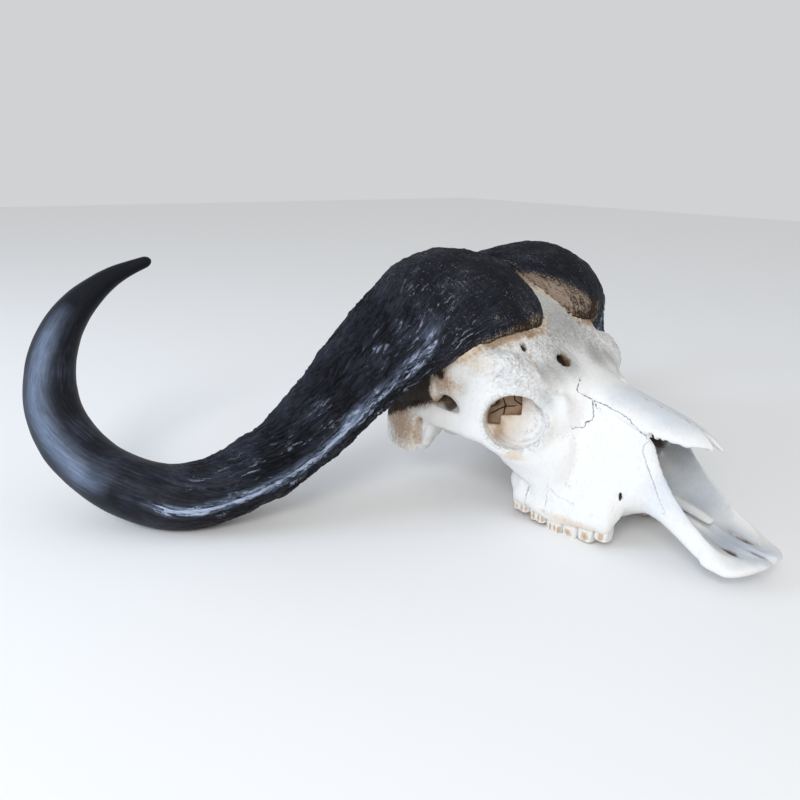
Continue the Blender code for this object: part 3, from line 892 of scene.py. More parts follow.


# %% [markdown]
# The bone is not one white. It is stained warm where the horns meet it, at the roots of the teeth and
# behind the cheek arch, grey and wrinkled on the forehead, and porous over the brow. Other regions are
# painted shade: a cool tint of shade and sky reflection on the nasals and in the muzzle, blue-grey deep
# in the muzzle, and dark in the holes, openings and slits. These regions are soft spots: a middle and a
# reach on each axis.

# %% Regions of stain and painted shade
STAIN_AND_SHADE_REGIONS = {
    "warm": (
        ((66, 318, 184), (46, 30, 20)), ((104, 400, 98), (26, 30, 26)), ((114, 374, 118), (24, 40, 24)),
        ((100, 330, 150), (30, 34, 18)), ((94, 300, 80), (10, 14, 20)), ((103, 270, 53), (18, 18, 9)),
        ((70, 220, -16), (14, 90, 8)), ((112, 456, 40), (36, 48, 60)), ((60, 292, 190), (16, 16, 12)),
        ((70, 480, 120), (60, 20, 70)), ((78, 396, 84), (24, 34, 26)), ((0, 372, 236), (30, 50, 26)),
    ),
    "grey": (
        ((0, 310, 190), (40, 60, 50)), ((0, 375, 238), (34, 50, 26)), ((30, 262, 158), (22, 30, 22)),
        ((56, 268, 142), (24, 24, 24)), ((72, 258, 116), (14, 18, 20)), ((14, 130, 50), (20, 60, 30)),
    ),
    "porous": (
        ((78, 322, 182), (44, 30, 18)), ((102, 402, 98), (26, 26, 24)), ((112, 374, 118), (18, 34, 22)),
        ((114, 456, 36), (26, 42, 60)),
    ),
    # painted shade with a cool sky reflection, on the nasals and inside the muzzle
    "painted_cool_shade": (
        ((0, 150, 122), (34, 100, 24)), ((24, 90, 40), (24, 70, 40)), ((0, 20, 2), (26, 50, 8)),
        ((36, 100, 40), (12, 60, 34)),
    ),
    # painted shade, a darker blue-grey on the inner walls deep in the muzzle
    "painted_blue_shade": (
        ((22, 130, 52), (15, 50, 44)), ((20, 92, 26), (17, 50, 26)), ((12, 50, 2), (26, 52, 12)),
    ),
    # painted shade: dark in the holes and openings of the head, deep in the nose, and in the slits and gap
    # of the muzzle
    "painted_hole_shade": (
        ((30, 276, 147), (11, 14, 14)), ((45, 157, 28), (6, 7, 7)), ((67, 300, 166), (4, 5, 7)),
        ((8, 172, 72), (24, 42, 34)), ((88, 322, 102), (12, 12, 8)), ((80, 394, 82), (22, 30, 17)),
        ((92, 370, 82), (14, 24, 14)), ((21, 45, -9), (9, 16, 7)), ((16, 42, -9), (8, 15, 7)),
        ((0, 18, -9), (5.4, 22, 8)),
    ),
    "rough": (
        ((40, 300, 182), (44, 56, 40)), ((90, 300, 150), (26, 50, 30)), ((0, 370, 236), (50, 60, 30)),
    ),
}


def spots(points, regions):
    """Soft spots, one at the middle of each region and nothing beyond its reach."""
    places = on_left(points)
    total = np.zeros(len(points))
    for middle, reach in regions:
        far = (((places - middle) / reach) ** 2).sum(1)
        total = np.maximum(total, np.exp(-far))
    return total


# %% [markdown]
# The bone under the back of the horns is dark, as if charred, down to a ragged line that slopes to the
# back of the head. A narrow dark edge also follows the horn itself. How near the horn is follows from
# the horn's own sections, the same ones that shaped its seat.

# %% Darkened bone by the horns
CHAR_BACK = 395.0
CHAR_LOW = 88.0
CHAR_SLOPE = 0.50
CHAR_OUT = 92.0
CHAR_SOFT = 12.0
EDGE_GAP = 19.0
EDGE_BACK = 374.0
GAP_PIECES = 8
GAP_STATIONS = 10


def charred(points):
    """How far a point lies above the ragged dark line below the root of the horn."""
    places = np.abs(points)
    line = CHAR_LOW - CHAR_SLOPE * (places[:, 1] - CHAR_BACK)
    above = np.clip((places[:, 2] - line) / CHAR_SOFT, -1, 1)
    behind = np.clip((places[:, 1] - CHAR_BACK) / 8, -1, 1)
    outside = np.clip((places[:, 0] - CHAR_OUT) / CHAR_SOFT, -1, 1)
    return np.minimum(np.minimum(above, behind), outside)


def horn_gap(points):
    """How far each point is from the nearest horn, in millimetres."""
    middles, sizes, along, crests, outers = horn_frames(GAP_PIECES)
    places = on_left(points)
    best = np.full(len(points), FAR_AWAY)
    for middle, size, way, crest, outer in zip(middles[:GAP_PIECES * GAP_STATIONS], sizes, along,
                                               crests, outers):
        offset = places - middle
        u, v, w = offset @ crest, offset @ outer, offset @ way
        wide = np.where(u > 0, size[0], size[1])
        v = v + size[4] * (u / wide) ** 2
        thick = np.where(v > 0, size[2], size[3])
        ratio = np.sqrt((u / wide) ** 2 + (v / thick) ** 2) + 1e-6
        inside = np.sqrt(u * u + v * v) * (1 - 1 / ratio)
        best = np.minimum(best, np.hypot(np.maximum(inside, 0), w))
    return best


def dark_edge(points, gap):
    """How far a point lies inside the dark edge that follows the back of the horn."""
    return np.minimum((EDGE_GAP - gap) / 8, (points[:, 1] - EDGE_BACK) / CHAR_SOFT).clip(-1, 1)


# %% [markdown]
# A mesh keeps these marks as attributes, one number at each point, which both the relief and the
# finish read. They are worked out in the skull's own millimetres.

# %% Marks on the mesh of a bone
RIM_ROUGH = 0.45


def off_table(piece):
    """A piece's points, back in the skull's own millimetres."""
    points = np.empty(len(piece.data.vertices) * 3, np.float32)
    piece.data.vertices.foreach_get("co", points)
    points = points.reshape(-1, 3) / MM
    points += (0, MUZZLE_FROM_MIDDLE, -PALATE_ABOVE_GROUND)
    cosine, sine = math.cos(BACK_RAISED), math.sin(BACK_RAISED)
    y = points[:, 1] * cosine + points[:, 2] * sine
    z = points[:, 2] * cosine - points[:, 1] * sine
    return np.stack((points[:, 0], y, z), axis=1)


def remember(piece):
    """Keeps on a bone's mesh everything that its relief and its finish read."""
    points = off_table(piece)
    side, near = seam_marks(points)
    depth, crack, shade, rim = orbit_marks(points)
    gap = horn_gap(points)
    marks = {"seam_side": side, "seam_near": near, "orbit_depth": depth, "orbit_shade": shade,
             "crack_side": crack, "crack_near": (2.2 - np.abs(crack) / 2.0).clip(0, 1),
             "hollow_near": read_grid(shares["near"], bone, points),
             "hollow_wide": read_grid(shares["wide"], bone, points),
             "horn_gap": gap, "charred": np.maximum(charred(points), dark_edge(points, gap))}
    marks.update((name, spots(points, regions)) for name, regions in STAIN_AND_SHADE_REGIONS.items())
    marks["rough"] = np.maximum(marks["rough"], RIM_ROUGH * rim)
    for name, values in marks.items():
        note(piece, name, values)


# %% [markdown]
# Damage isn't the same on both sides, so it is cut after the left half has been mirrored. Each chip
# is an ellipsoid taken out of the whole field: the jagged edge of the nasals and their broken tip, the
# holes of the forehead, the slits and the gap between the bars of the muzzle, and pits in the gum.

# %% Damage and uneven slits
CHIPS = (
    ((-14, 69, 97), (13, 13.5, 12)), ((-19, 92, 93), (9, 10, 5.5)), ((-34, 139, 100), (9, 4.0, 4.2)),
    ((-31, 130, 98), (9, 2.6, 3.0)), ((-29, 123, 97), (9, 3.4, 3.4)), ((-26, 112, 95), (9, 5, 3.2)),
    ((-29, 258, 178), (13, 11, 12)), ((-29, 264, 163), (12, 10, 15)), ((-33, 277, 148), (13, 13, 14)),
    ((-40, 266, 179), (5, 4, 8)), ((-19, 252, 175), (5, 3, 8)), ((-35, 249, 173), (3, 4, 8)),
    ((-24, 270, 180), (4, 4, 9)),
    ((31, 264, 174), (4, 4, 12)),
    ((21, 54, 0), (3.5, 9, 15)), ((22, 45, -2), (5.0, 11, 15)), ((22, 36, -3), (4.0, 9, 15)),
    ((-15, 52, 0), (3, 8, 15)), ((-16.5, 42, -2), (4.4, 10, 15)), ((-19, 32, -3), (3.4, 8, 15)),
    ((-79, 239, -16), (3.5, 2.5, 3)), ((-79, 234, -20), (3, 2, 3)), ((-70, 177, 0), (3, 2, 2.2)),
    ((-77, 227, 8), (2.6, 1.6, 2.2)), ((-77, 228, 1), (2.6, 1.5, 2.6)), ((-16, 83, 93.5), (9, 9, 5.5)),
    ((-1, 26, -3), (3.0, 12, 17)), ((-0.5, 13, -3), (4.2, 12, 18)), ((0, 0, -3), (6.0, 11, 18)),
)


def chip(both, axes, middle, radii):
    """Takes an ellipsoid out of the whole field."""
    part = tuple(slice(int(np.searchsorted(axis, c - r)), int(np.searchsorted(axis, c + r)))
                 for axis, c, r in zip(axes, middle, radii))
    x, y, z = np.meshgrid(*(axis[piece] - c for axis, piece, c in zip(axes, part, middle)),
                          indexing="ij")
    ratio = np.sqrt((x / radii[0]) ** 2 + (y / radii[1]) ** 2 + (z / radii[2]) ** 2)
    both[part] = np.maximum(both[part], (1 - ratio) * min(radii))


# %% [markdown]
# OpenVDB turns the field into a mesh of small squares. A relief of low lumps, wrinkles, pits and seams
# is raised on it by a tree of its own.

# %% From distances to a mesh
BAND = 6.0


def mesh_of(bone):
    """The points and squares of the whole bone, in the skull's millimetres."""
    both = np.concatenate((bone.field[:0:-1], bone.field), axis=0)
    axes = (np.concatenate((-bone.axes[0][:0:-1], bone.axes[0])), *bone.axes[1:])
    for middle, radii in CHIPS:
        chip(both, axes, middle, radii)
    grid = openvdb.FloatGrid(FAR_AWAY)
    grid.copyFromArray(np.ascontiguousarray(np.clip(both, -BAND, BAND)))
    points, quads = grid.convertToQuads(isovalue=0.0)
    start = np.array((-bone.axes[0][-1], bone.axes[1][0], bone.axes[2][0]))
    return points * VOXEL + start, quads[:, ::-1]


def bone_height(here, spot, given):
    """Low lumps everywhere, wrinkles on the forehead, pits on the brow, and a groove at each seam."""
    lumps = (spot.noise(26.0, 2.0) - 0.5) * given["Lumps"]
    small = (spot.noise(7.0, 3.0) - 0.5) * given["Small lumps"]
    rough = here.attribute("rough")
    wrinkles = (spot.stretched(4.5, 12.0, 6.0).noise(1.0, 3.0, 0.6, warp=1.0) - 0.5) * rough
    wrinkles = wrinkles * given["Wrinkles"]
    pits = spot.cells(5.0).eased(0.35, 0.0) * given["Pits"] * here.attribute("porous")
    wander = (spot.noise(6.0) - 0.5) * given["Seam wander"]
    seam = abs(here.attribute("seam_side") + wander).eased(1.4, 0.2)
    seam = seam * here.attribute("seam_near") * given["Seams"]
    return lumps + small + wrinkles - pits - seam


bone_sizes = {"Lumps": 1.6, "Small lumps": 0.7, "Wrinkles": 12.0, "Pits": 1.4, "Seams": 1.0,
              "Seam wander": 4.0}
bone_relief = relief_tree("bone_relief", bone_sizes, bone_height)
points, quads = mesh_of(bone)
skull = piece_from("skull_bone", points, quads.tolist())
remember(skull)
print("bone squares before thinning:", len(quads))

# %% [markdown]
# ### The finish of the bone
#
# Bone that lay in the sun is a dry, warm white. The shader mixes stains and painted shade into it by
# the marks that the mesh remembers, broken up by noise at several sizes so that no edge is smooth.
# Pores and fine scratches are too small for the mesh, so they are bumps.

# %% Bleached bone
BONE_WHITE = (0.80, 0.795, 0.782, 1)
# Painted shade with a cool sky reflection, for the nasals and the inside of the muzzle.
BONE_COOL_SHADE = (0.60, 0.645, 0.69, 1)
# Painted shade, a darker blue-grey, deep inside the muzzle.
BONE_BLUE_SHADE = (0.36, 0.40, 0.46, 1)
BONE_DULL = (0.455, 0.465, 0.455, 1)
BONE_CREAM = (0.70, 0.59, 0.46, 1)
BONE_TAN = (0.38, 0.25, 0.16, 1)
BONE_GREY = (0.30, 0.295, 0.28, 1)
BONE_DARK = (0.065, 0.038, 0.023, 1)
BONE_BLACK = (0.010, 0.008, 0.007, 1)


def stain_and_shade_masks(here, cloud, fine, fibres):
    """Where the bone has each of its stains and its painted shade, from 0 to 1."""
    hollow = here.attribute("hollow_near") - 0.5
    deep = here.attribute("hollow_wide") - 0.5
    near_horn = here.attribute("horn_gap").eased(16.0, 0.0)
    warm = here.attribute("warm") + near_horn * 0.7 + (cloud - 0.5) * 0.9
    # Tan also gathers in hollows, as stain and as painted shade.
    tan = warm + here.attribute("porous") * 0.4 + hollow * 2 + (fine - 0.5) * 1.2
    grey = here.attribute("grey") + (fine - 0.5) * 1.0 + (fibres - 0.5) * 0.4
    # Darker in hollows: dirt, and painted shade where the bone is sunk.
    dirt_and_shade = hollow * 2.6 + deep * 2.2 + (fine - 0.5) * 1.2
    burnt = here.attribute("charred") + (fibres - 0.5) * 1.4 + (fine - 0.5)
    return {
        "warm": (warm + (fine - 0.5) * 0.7).eased(0.35, 1.0),
        "tan": tan.eased(0.75, 1.4),
        "grey": grey.eased(0.35, 1.2),
        "dull": here.attribute("grey").eased(0.1, 0.8),
        "painted_cool_shade": (here.attribute("painted_cool_shade") + (cloud - 0.5)).eased(0.25, 0.9),
        "painted_blue_shade": (here.attribute("painted_blue_shade") + (cloud - 0.5) * 0.3).eased(0.05, 1.3),
        "shade": here.attribute("orbit_shade").eased(0.0, 0.9),
        "dirt_and_shade": dirt_and_shade.eased(0.32, 1.0),
        "deep_shade_and_dirt": dirt_and_shade.eased(0.7, 1.5),
        "shade_in_holes": here.attribute("painted_hole_shade").eased(0.25, 0.7),
        "scorched": burnt.eased(-1.0, 0.1),
        "charred": burnt.eased(-0.25, 0.25),
    }


def bone_lines(here, spot, fine, orbit_floor):
    """The dark lines of the sutures, and those of the cracks deep in the orbit."""
    wander = (spot.noise(6.0) - 0.5) * 4.0 + (spot.noise(1.5) - 0.5) * 1.2
    seam = abs(here.attribute("seam_side") + wander).eased(1.1, 0.25)
    seam = seam * here.attribute("seam_near") * fine.eased(0.3, 0.5)
    crack = abs(here.attribute("crack_side") + wander * 0.12).eased(0.95, 0.5)
    return seam, crack * here.attribute("crack_near") * orbit_floor


def bone_finish():
    material, here, shader, spot = new_finish("bone_finish", Specular_IOR_Level=0.2)
    cloud = spot.noise(30.0, 5.0, 0.6)
    fine = spot.noise(4.0, 6.0, 0.65)
    grit = spot.noise(0.9, 3.0, 0.6)
    fibres = spot.stretched(9.0, 1.6, 9.0).noise(1.0, 4.0, 0.6, warp=0.6)
    creases = spot.stretched(3.0, 9.0, 4.0).noise(1.0, 4.0, 0.6, warp=1.0)
    porous, grey, rough = (here.attribute(name) for name in ("porous", "grey", "rough"))
    pores = spot.cells(1.7).eased(0.36, 0.14) * (spot.noise(14.0) + porous * 0.4).eased(0.56, 0.8)
    orbit_floor = here.attribute("orbit_depth").eased(1.5, 4.0)
    stains_and_shade = stain_and_shade_masks(here, cloud, fine, fibres)
    seam, crack = bone_lines(here, spot, fine, orbit_floor)
    # The cool and blue tints, the shade in the orbit, the dark in holes and slits and part of the darkening
    # in hollows are painted shade.
    colour = layered(
        BONE_WHITE,
        (stains_and_shade["painted_cool_shade"] * 0.8, BONE_COOL_SHADE),
        (creases.eased(0.50, 0.34) * rough * 0.75, BONE_GREY),
        (stains_and_shade["dull"] * 0.6, BONE_DULL),
        (stains_and_shade["painted_blue_shade"], BONE_BLUE_SHADE),
        (stains_and_shade["warm"] * 0.9, BONE_CREAM),
        (stains_and_shade["grey"] * 0.6, BONE_GREY),
        (stains_and_shade["tan"] * 0.8, BONE_TAN),
        (stains_and_shade["shade"] * 0.85, cloud.eased(0.34, 0.58).mix(BONE_CREAM, BONE_TAN)),
        (orbit_floor * (0.55 + cloud * 0.5), BONE_TAN),
        (stains_and_shade["dirt_and_shade"] * 0.75, BONE_TAN),
        (stains_and_shade["deep_shade_and_dirt"] * 0.9, BONE_DARK),
        (pores * (0.15 + porous * 0.6), BONE_DARK),
        (seam * 0.9, BONE_DARK),
        (crack, BONE_BLACK),
        (stains_and_shade["shade_in_holes"] * 0.9, BONE_DARK),
        (stains_and_shade["scorched"] * 0.7, BONE_TAN),
        (stains_and_shade["charred"] * 0.95, fibres.eased(0.45, 0.9).mix(BONE_BLACK, BONE_DARK)),
    )
    roughness = 0.62 + fine * 0.25 + stains_and_shade["charred"] * 0.15
    relief = fine * (0.5 + grey * 1.6) + creases * rough * 7.0 + grit * 0.25 - pores * 0.6
    relief = relief + fibres * (0.2 + porous * 1.4 + stains_and_shade["charred"] * 2.5) - seam * 0.6 - crack
    return finish_with(material, shader, colour, roughness, relief, 0.8)


skull_finish = bone_finish()
raise_relief(skull, bone_relief, {**bone_sizes, "Finish": skull_finish})
print("points of the bone before thinning:", len(skull.data.vertices))

# %% [markdown]
# Most squares lie on smooth bone that needs far fewer, so a Decimate modifier keeps the small ones
# where the surface bends. The cracks in the orbit are lines of colour on a smooth floor, and would
# blur on large triangles, so a vertex group leaves the squares along them almost as they are.

# %% Thin the bone
BONE_TRIANGLES = 185000
CRACK_REACH = 6.0
THINNED_MORE = 20.0

behind_bowl, crack = orbit_marks(off_table(skull))[:2]
along_cracks = (behind_bowl > 0.5) & (np.abs(crack) < CRACK_REACH)
thinned = skull.vertex_groups.new(name="thinned")
thinned.add(np.flatnonzero(~along_cracks).tolist(), 1.0, "REPLACE")
thin = skull.modifiers.new("thin", "DECIMATE")
thin.ratio = BONE_TRIANGLES / (2 * len(quads))
thin.vertex_group = "thinned"
thin.vertex_group_factor = THINNED_MORE
keep_result(skull)
remember(skull)
skull.data.calc_loop_triangles()
print("bone triangles:", len(skull.data.loop_triangles))

# %% [markdown]
# ## The horns
#
# A horn is a sheath of keratin that grows from its base, so everything on it runs with its length:
# the rings of the boss lie across, the flakes of the middle run along, and the hook is polished. The
# mesh is a tube of rings through the stations. Each point keeps where it is on the horn rolled out
# straight, and the noise is read there, so its streaks follow every bend without a seam.

# %% The horn as a tube of rings
HORN_PIECES = 24
HORN_AROUND = 200
BUTT_ROUND = 13.0
TIP_ROUND = 9.0
END_SHARE = 0.02
TIP_DROPS = {"right": 0.0, "left": 20.0}
KEEL = ((3.9, 62), (4.9, 45), (5.7, 45), (6.6, 54), (7.7, 43), (8.9, 29), (10.3, 8), (12.0, 0))
KEEL_HEIGHT = 2.5
# Where the blue sheen of the hook is painted: angles round the horn at stations along it.
SHEEN_PLACES = ((9.5, 14), (11.3, 8), (12.0, 14), (13.0, 26), (14.3, 50), (15.7, 42), (18.0, 40))
WORN_TO = {"right": ((0, 8), (1.6, 10), (2.2, 23), (2.6, 18), (3.2, 5)),
           "left": ((0, 62), (1.9, 56), (2.4, 38), (3.0, 24), (4.2, 8))}


def band(station, turns, places, width, start, end):
    """A soft band that follows an angle round the horn, between two stations."""
    places = np.asarray(places, float)
    middle = np.radians(np.interp(station, places[:, 0], places[:, 1]))[:, None]
    off = np.angle(np.exp(1j * (turns - middle)))
    ends = np.clip((station - start) / 0.8, 0, 1) * np.clip((end - station) / 0.8, 0, 1)
    return np.exp(-(off / math.radians(width)) ** 2) * ends[:, None]


def section(sizes, turns, keel=0.0):
    """Each section's points at some angles: how far towards the crest, and how far out."""
    cosine, sine = np.cos(turns), np.sin(turns)
    wide = np.where(cosine > 0, sizes[:, :1], sizes[:, 1:2]) + keel
    thick = np.where(sine > 0, sizes[:, 2:3], sizes[:, 3:4]) + keel
    return wide * cosine, thick * sine - sizes[:, 4:] * cosine**2


def section_turns(sizes):
    """Angles that step equally far round each section, and the way round in millimetres."""
    even = np.linspace(0, 2 * math.pi, 721)
    u, v = section(sizes, even)
    run = np.hypot(np.diff(u, axis=1), np.diff(v, axis=1)).cumsum(axis=1)
    run = np.hstack((np.zeros((len(sizes), 1)), run))
    wanted = np.linspace(0, 1, HORN_AROUND, endpoint=False)
    turns = np.array([np.interp(wanted * way[-1], way, even) for way in run])
    return turns, run[:, -1]


def rounded_ends(length):
    """How much of its width each ring keeps, so that the horn is round at both ends."""
    butt = np.clip(1 - length / BUTT_ROUND, 0, 1)
    tip = np.clip(1 - (length[-1] - length) / TIP_ROUND, 0, 1)
    least = END_SHARE**2
    return np.sqrt(np.clip(1 - butt**2, least, 1) * np.clip(1 - tip**2, least, 1))[:, None]


def ring_faces(count, around, turned):
    """Squares between rings of points, and a fan at each end round a point in its middle."""
    index = np.arange(count * around).reshape(count, around)
    ahead = np.roll(index, -1, axis=1)
    quads = np.stack((index[:-1], ahead[:-1], ahead[1:], index[1:]), axis=-1).reshape(-1, 4)
    first_fan = [(count * around, b, a) for a, b in zip(index[0], ahead[0])]
    last_fan = [(count * around + 1, a, b) for a, b in zip(index[-1], ahead[-1])]
    faces = quads.tolist() + first_fan + last_fan
    return [face[::-1] for face in faces] if turned else faces


# %% [markdown]
# Each point of a horn keeps its place on the horn rolled out straight, in millimetres, and marks for
# the crest, the keel, the painted sheen of the hook and the worn edge next to the forehead. The near
# horn is worn in a narrow strip along its crest, the far one in a wide band that narrows as it goes out.

# %% Make the horns
def horn_marks(side, station, turns, keel):
    """The numbers that each point of a horn keeps."""
    off_crest = np.abs(np.angle(np.exp(1j * turns)))
    places, reach = zip(*WORN_TO[side])
    worn_to = np.radians(np.interp(station, places, reach))[:, None]
    return {"crest": np.cos(turns), "outer": np.sin(turns),
            "worn": np.clip((worn_to - off_crest) / 0.2, -1, 1), "keel": keel,
            "painted_sheen": band(station, turns, SHEEN_PLACES, 24, 11.3, 16.0),
            "station": np.broadcast_to(station[:, None], turns.shape)}


def horn_piece(side, tip_drop):
    """A horn's sheath as a mesh, and its length along the middle."""
    middles, sizes, along, crests, outers = horn_frames(HORN_PIECES, tip_drop)
    turns, girths = section_turns(sizes)
    steps = np.linalg.norm(np.diff(middles, axis=0), axis=1)
    length = np.concatenate(((0.0,), steps.cumsum()))
    shrink = rounded_ends(length)
    station = np.linspace(0, len(HORN_STATIONS) - 1, len(turns))
    keel = band(station, turns, KEEL, 14, 3.9, 11.0)
    u, v = (reach * shrink for reach in section(sizes, turns, keel * KEEL_HEIGHT))
    rings = middles[:, None] + crests[:, None] * u[..., None] + outers[:, None] * v[..., None]
    rings[..., 0] *= SIDES[side]
    count, around = turns.shape
    points = np.vstack((rings.reshape(-1, 3), rings[0].mean(0), rings[-1].mean(0)))
    horn = piece_from(f"horn_{side}_sheath", points, ring_faces(count, around, SIDES[side] > 0))
    way = np.linspace(0, 2 * math.pi, around, endpoint=False)
    girth = girths[:, None] / (2 * math.pi)
    unrolled = np.stack(np.broadcast_arrays(length[:, None], girth * np.cos(way), girth * np.sin(way)),
                        axis=-1).reshape(-1, 3)
    note(horn, "unrolled", np.vstack((unrolled, (length[0], 0, 0), (length[-1], 0, 0))))
    for name, values in horn_marks(side, station, turns, keel).items():
        note(horn, name, np.concatenate((values.ravel(), values[[0, -1], 0])))
    return horn, length[-1]


horns = {}
for side in SIDES:
    horns[side], horn_length = horn_piece(side, TIP_DROPS[side])
    print(side, "horn, along its middle, in mm:", round(horn_length))

# %% [markdown]
# The relief of the horn is made in the rolled-out space: ridges that lie across the boss, broken by
# pits, then scales that overlap along the middle of the horn, and almost nothing on the hook.

# %% Relief of the horns
def horn_regions(here):
    """How far a place belongs to the boss, to the flaky middle and to the smooth hook."""
    station = here.attribute("station")
    boss = station.eased(5.0, 3.6)
    hook = station.eased(8.0, 11.0)
    return boss, (1 - boss) * (1 - hook), hook


def scale_edges(way):
    """Nought along the broken edges of the scales, which run with the horn, and one between them."""
    crackle = way.stretched(34.0, 11.0, 11.0).noise(1.0, 3.0, 0.55, warp=1.2) - 0.5
    return abs(crackle).eased(0.0, 0.06)


def horn_height(here, spot, given):
    way = here.attribute_vector("unrolled")
    boss, middle, hook = horn_regions(here)
    lumps = (way.noise(48.0, 2.0) - 0.5) * given["Lumps"] * (1 - hook * 0.75)
    ridges = way.stretched(4.6, 55.0, 55.0).noise(1.0, 3.0, 0.6, warp=0.5) - 0.5
    knobs = way.stretched(10.0, 16.0, 16.0).noise(1.0, 3.0, 0.6, warp=0.6) - 0.5
    scales = way.stretched(28.0, 12.0, 12.0).noise(1.0, 5.0, 0.65, warp=1.2) - 0.5
    on_boss = (ridges * given["Ridges"] + knobs * given["Knobs"]) * boss
    on_middle = (scales * given["Scales"] + (scale_edges(way) - 1) * given["Flakes"]) * middle
    return lumps + on_boss + on_middle


horn_sizes = {"Lumps": 9.0, "Ridges": 4.2, "Knobs": 4.4, "Scales": 10.0, "Flakes": 3.0}
horn_relief = relief_tree("horn_relief", horn_sizes, horn_height)

# %% [markdown]
# ### The finish of the horns
#
# Old horn is black. A blue sheen is painted along the outer edge of the hook and beside the keel, and
# pale highlights are painted on the keel, where the horn is also rubbed, and on the edges of the flakes.
# The boss is dull and holds beige dust and flecks of brown in its pits. The same rolled-out place
# drives the colours, so they agree with the relief.

# %% Black horn
HORN_BLACK = (0.008, 0.0088, 0.0125, 1)
HORN_SLATE = (0.041, 0.045, 0.066, 1)
# Painted sheen, blue, along the hook and beside the keel.
HORN_SHEEN_BLUE = (0.25, 0.32, 0.46, 1)
# Painted highlight, pale, on the keel and on the edges of the flakes.
HORN_PALE_HIGHLIGHT = (0.40, 0.47, 0.62, 1)
HORN_BROWN = (0.050, 0.030, 0.018, 1)
HORN_TAN = (0.37, 0.285, 0.22, 1)
HORN_DUST = (0.30, 0.26, 0.215, 1)


def horn_finish():
    material, here, shader, spot = new_finish("horn_finish", Specular_IOR_Level=0.12)
    way = here.attribute_vector("unrolled")
    boss, middle, hook = horn_regions(here)
    crest, outer, keel, painted_sheen, worn, station = (
        here.attribute(name) for name in ("crest", "outer", "keel", "painted_sheen", "worn", "station"))
    cloud = way.noise(50.0, 4.0, 0.6)
    streaks = way.stretched(34.0, 3.0, 3.0).noise(1.0, 5.0, 0.65, warp=0.5)
    lines = way.stretched(1.7, 34.0, 34.0).noise(1.0, 4.0, 0.6, warp=0.6)
    grit = way.noise(2.4, 5.0, 0.75)
    patch = way.stretched(26.0, 13.0, 13.0).noise(1.0, 4.0, 0.6, warp=0.8)
    strokes = way.stretched(26.0, 5.0, 5.0).noise(1.0, 6.0, 0.72, warp=0.9)
    flecks = (grit * 0.7 + lines * 0.35 + cloud * 0.15).eased(0.66, 0.74) * boss
    shoulder = station.eased(3.4, 4.2) * station.eased(6.4, 5.2)
    # Painted highlights: glints on the edges of the flakes.
    glints = strokes.eased(0.55, 0.61) * (patch + shoulder * 0.05).eased(0.50, 0.60)
    glints = glints * (middle + shoulder).eased(0.0, 1.0) * crest.eased(-0.5, 0.3)
    # Pale along the keel: a painted highlight that is partly rubbed horn.
    core = keel.eased(0.93, 0.985) * station.eased(6.2, 7.4) * station.eased(11.0, 9.6)
    core = core * streaks.eased(0.30, 0.46)
    # Painted blue sheen beside the keel.
    keel_sheen = keel.eased(0.25, 1.0) * (streaks * 0.8 + patch * 0.8).eased(0.60, 0.95) * (1 - boss * 0.5)
    keel_highlight_and_rub = core + strokes.eased(0.52, 0.58) * keel.eased(0.5, 0.9)
    edge = (worn + (grit - 0.5) * 3.0 + (cloud - 0.5) * 1.4).eased(-0.2, 1.2) * boss
    under = outer.eased(0.15, -0.7) * (1 - hook) * crest.eased(-0.6, 0.2) * cloud.eased(0.3, 0.6)
    speckle = (grit + (lines - 0.5) * 0.5 + (cloud - 0.5) * 1.1).eased(0.45, 0.66)
    colour = layered(
        HORN_BLACK,
        ((cloud * streaks).eased(0.16, 0.46) * station.eased(17.0, 14.5), HORN_SLATE),
        (painted_sheen * (streaks * 0.9 + cloud * 0.5 - 0.2), HORN_SHEEN_BLUE),
        (under * 0.8, HORN_BROWN),
        (keel_sheen * 0.6, HORN_SHEEN_BLUE),
        (glints * 0.6, HORN_PALE_HIGHLIGHT),
        (keel_highlight_and_rub.eased(0.1, 1.0), HORN_PALE_HIGHLIGHT),
        (edge * 0.9, speckle.mix(HORN_BROWN, HORN_TAN)),
        (flecks * 0.65, HORN_DUST),
    )
    roughness = 0.34 + boss * 0.32 + streaks * 0.2 + edge * 0.2
    relief = (lines * 1.8 + grit * 1.6) * boss + (streaks * 1.6 + strokes * 3.0 + scale_edges(way)) * middle
    relief = relief + streaks * 0.3 * hook
    return finish_with(material, shader, colour, roughness, relief, 0.9)


sheath_finish = horn_finish()
for side, horn in horns.items():
    raise_relief(horn, horn_relief, {**horn_sizes, "Finish": sheath_finish})
    print(horn.name, "triangles:", 2 * len(horn.data.polygons))

# %% [markdown]
# ## The teeth
#
# A buffalo chews with tall, ribbed cheek teeth. The three premolars have one lobe each and the three
# molars two, with a rib at each corner and in the middle of the cheek side. One function makes a
# tooth of any size: rings up its side, and a chewed face that closes it below.

# %% The shape of a cheek tooth
TOOTH_LENGTHS = (20.0, 22.0, 22.0, 25.0, 27.0, 29.0)
TOOTH_WIDTHS = (16.0, 20.0, 22.0, 25.0, 26.0, 25.0)
TOOTH_ROW_FRONT = (55.0, 158.5)
TOOTH_ROW_BACK = (64.0, 290.0)
TOOTH_TIPS = (-30.0, -37.0, -40.0, -40.0, -35.0, -30.0)
TOOTH_ROOTS = (2.0, -6.0, -10.0, -11.0, -9.0, -6.0)
TOOTH_SPACE = 0.4
TOOTH_AROUND = 96
TOOTH_LEVELS = 26
PREMOLARS = 3
CHEWED_RINGS = 10
CHEWED_STAIN = 0.8
RIB_HEIGHT = 0.6
FOLD_DEPTH = 2.6
CUSP_HEIGHT = 1.8


def bulge(u, middle, reach):
    """A soft bump about a place."""
    return np.exp(-((u - middle) / reach) ** 2)


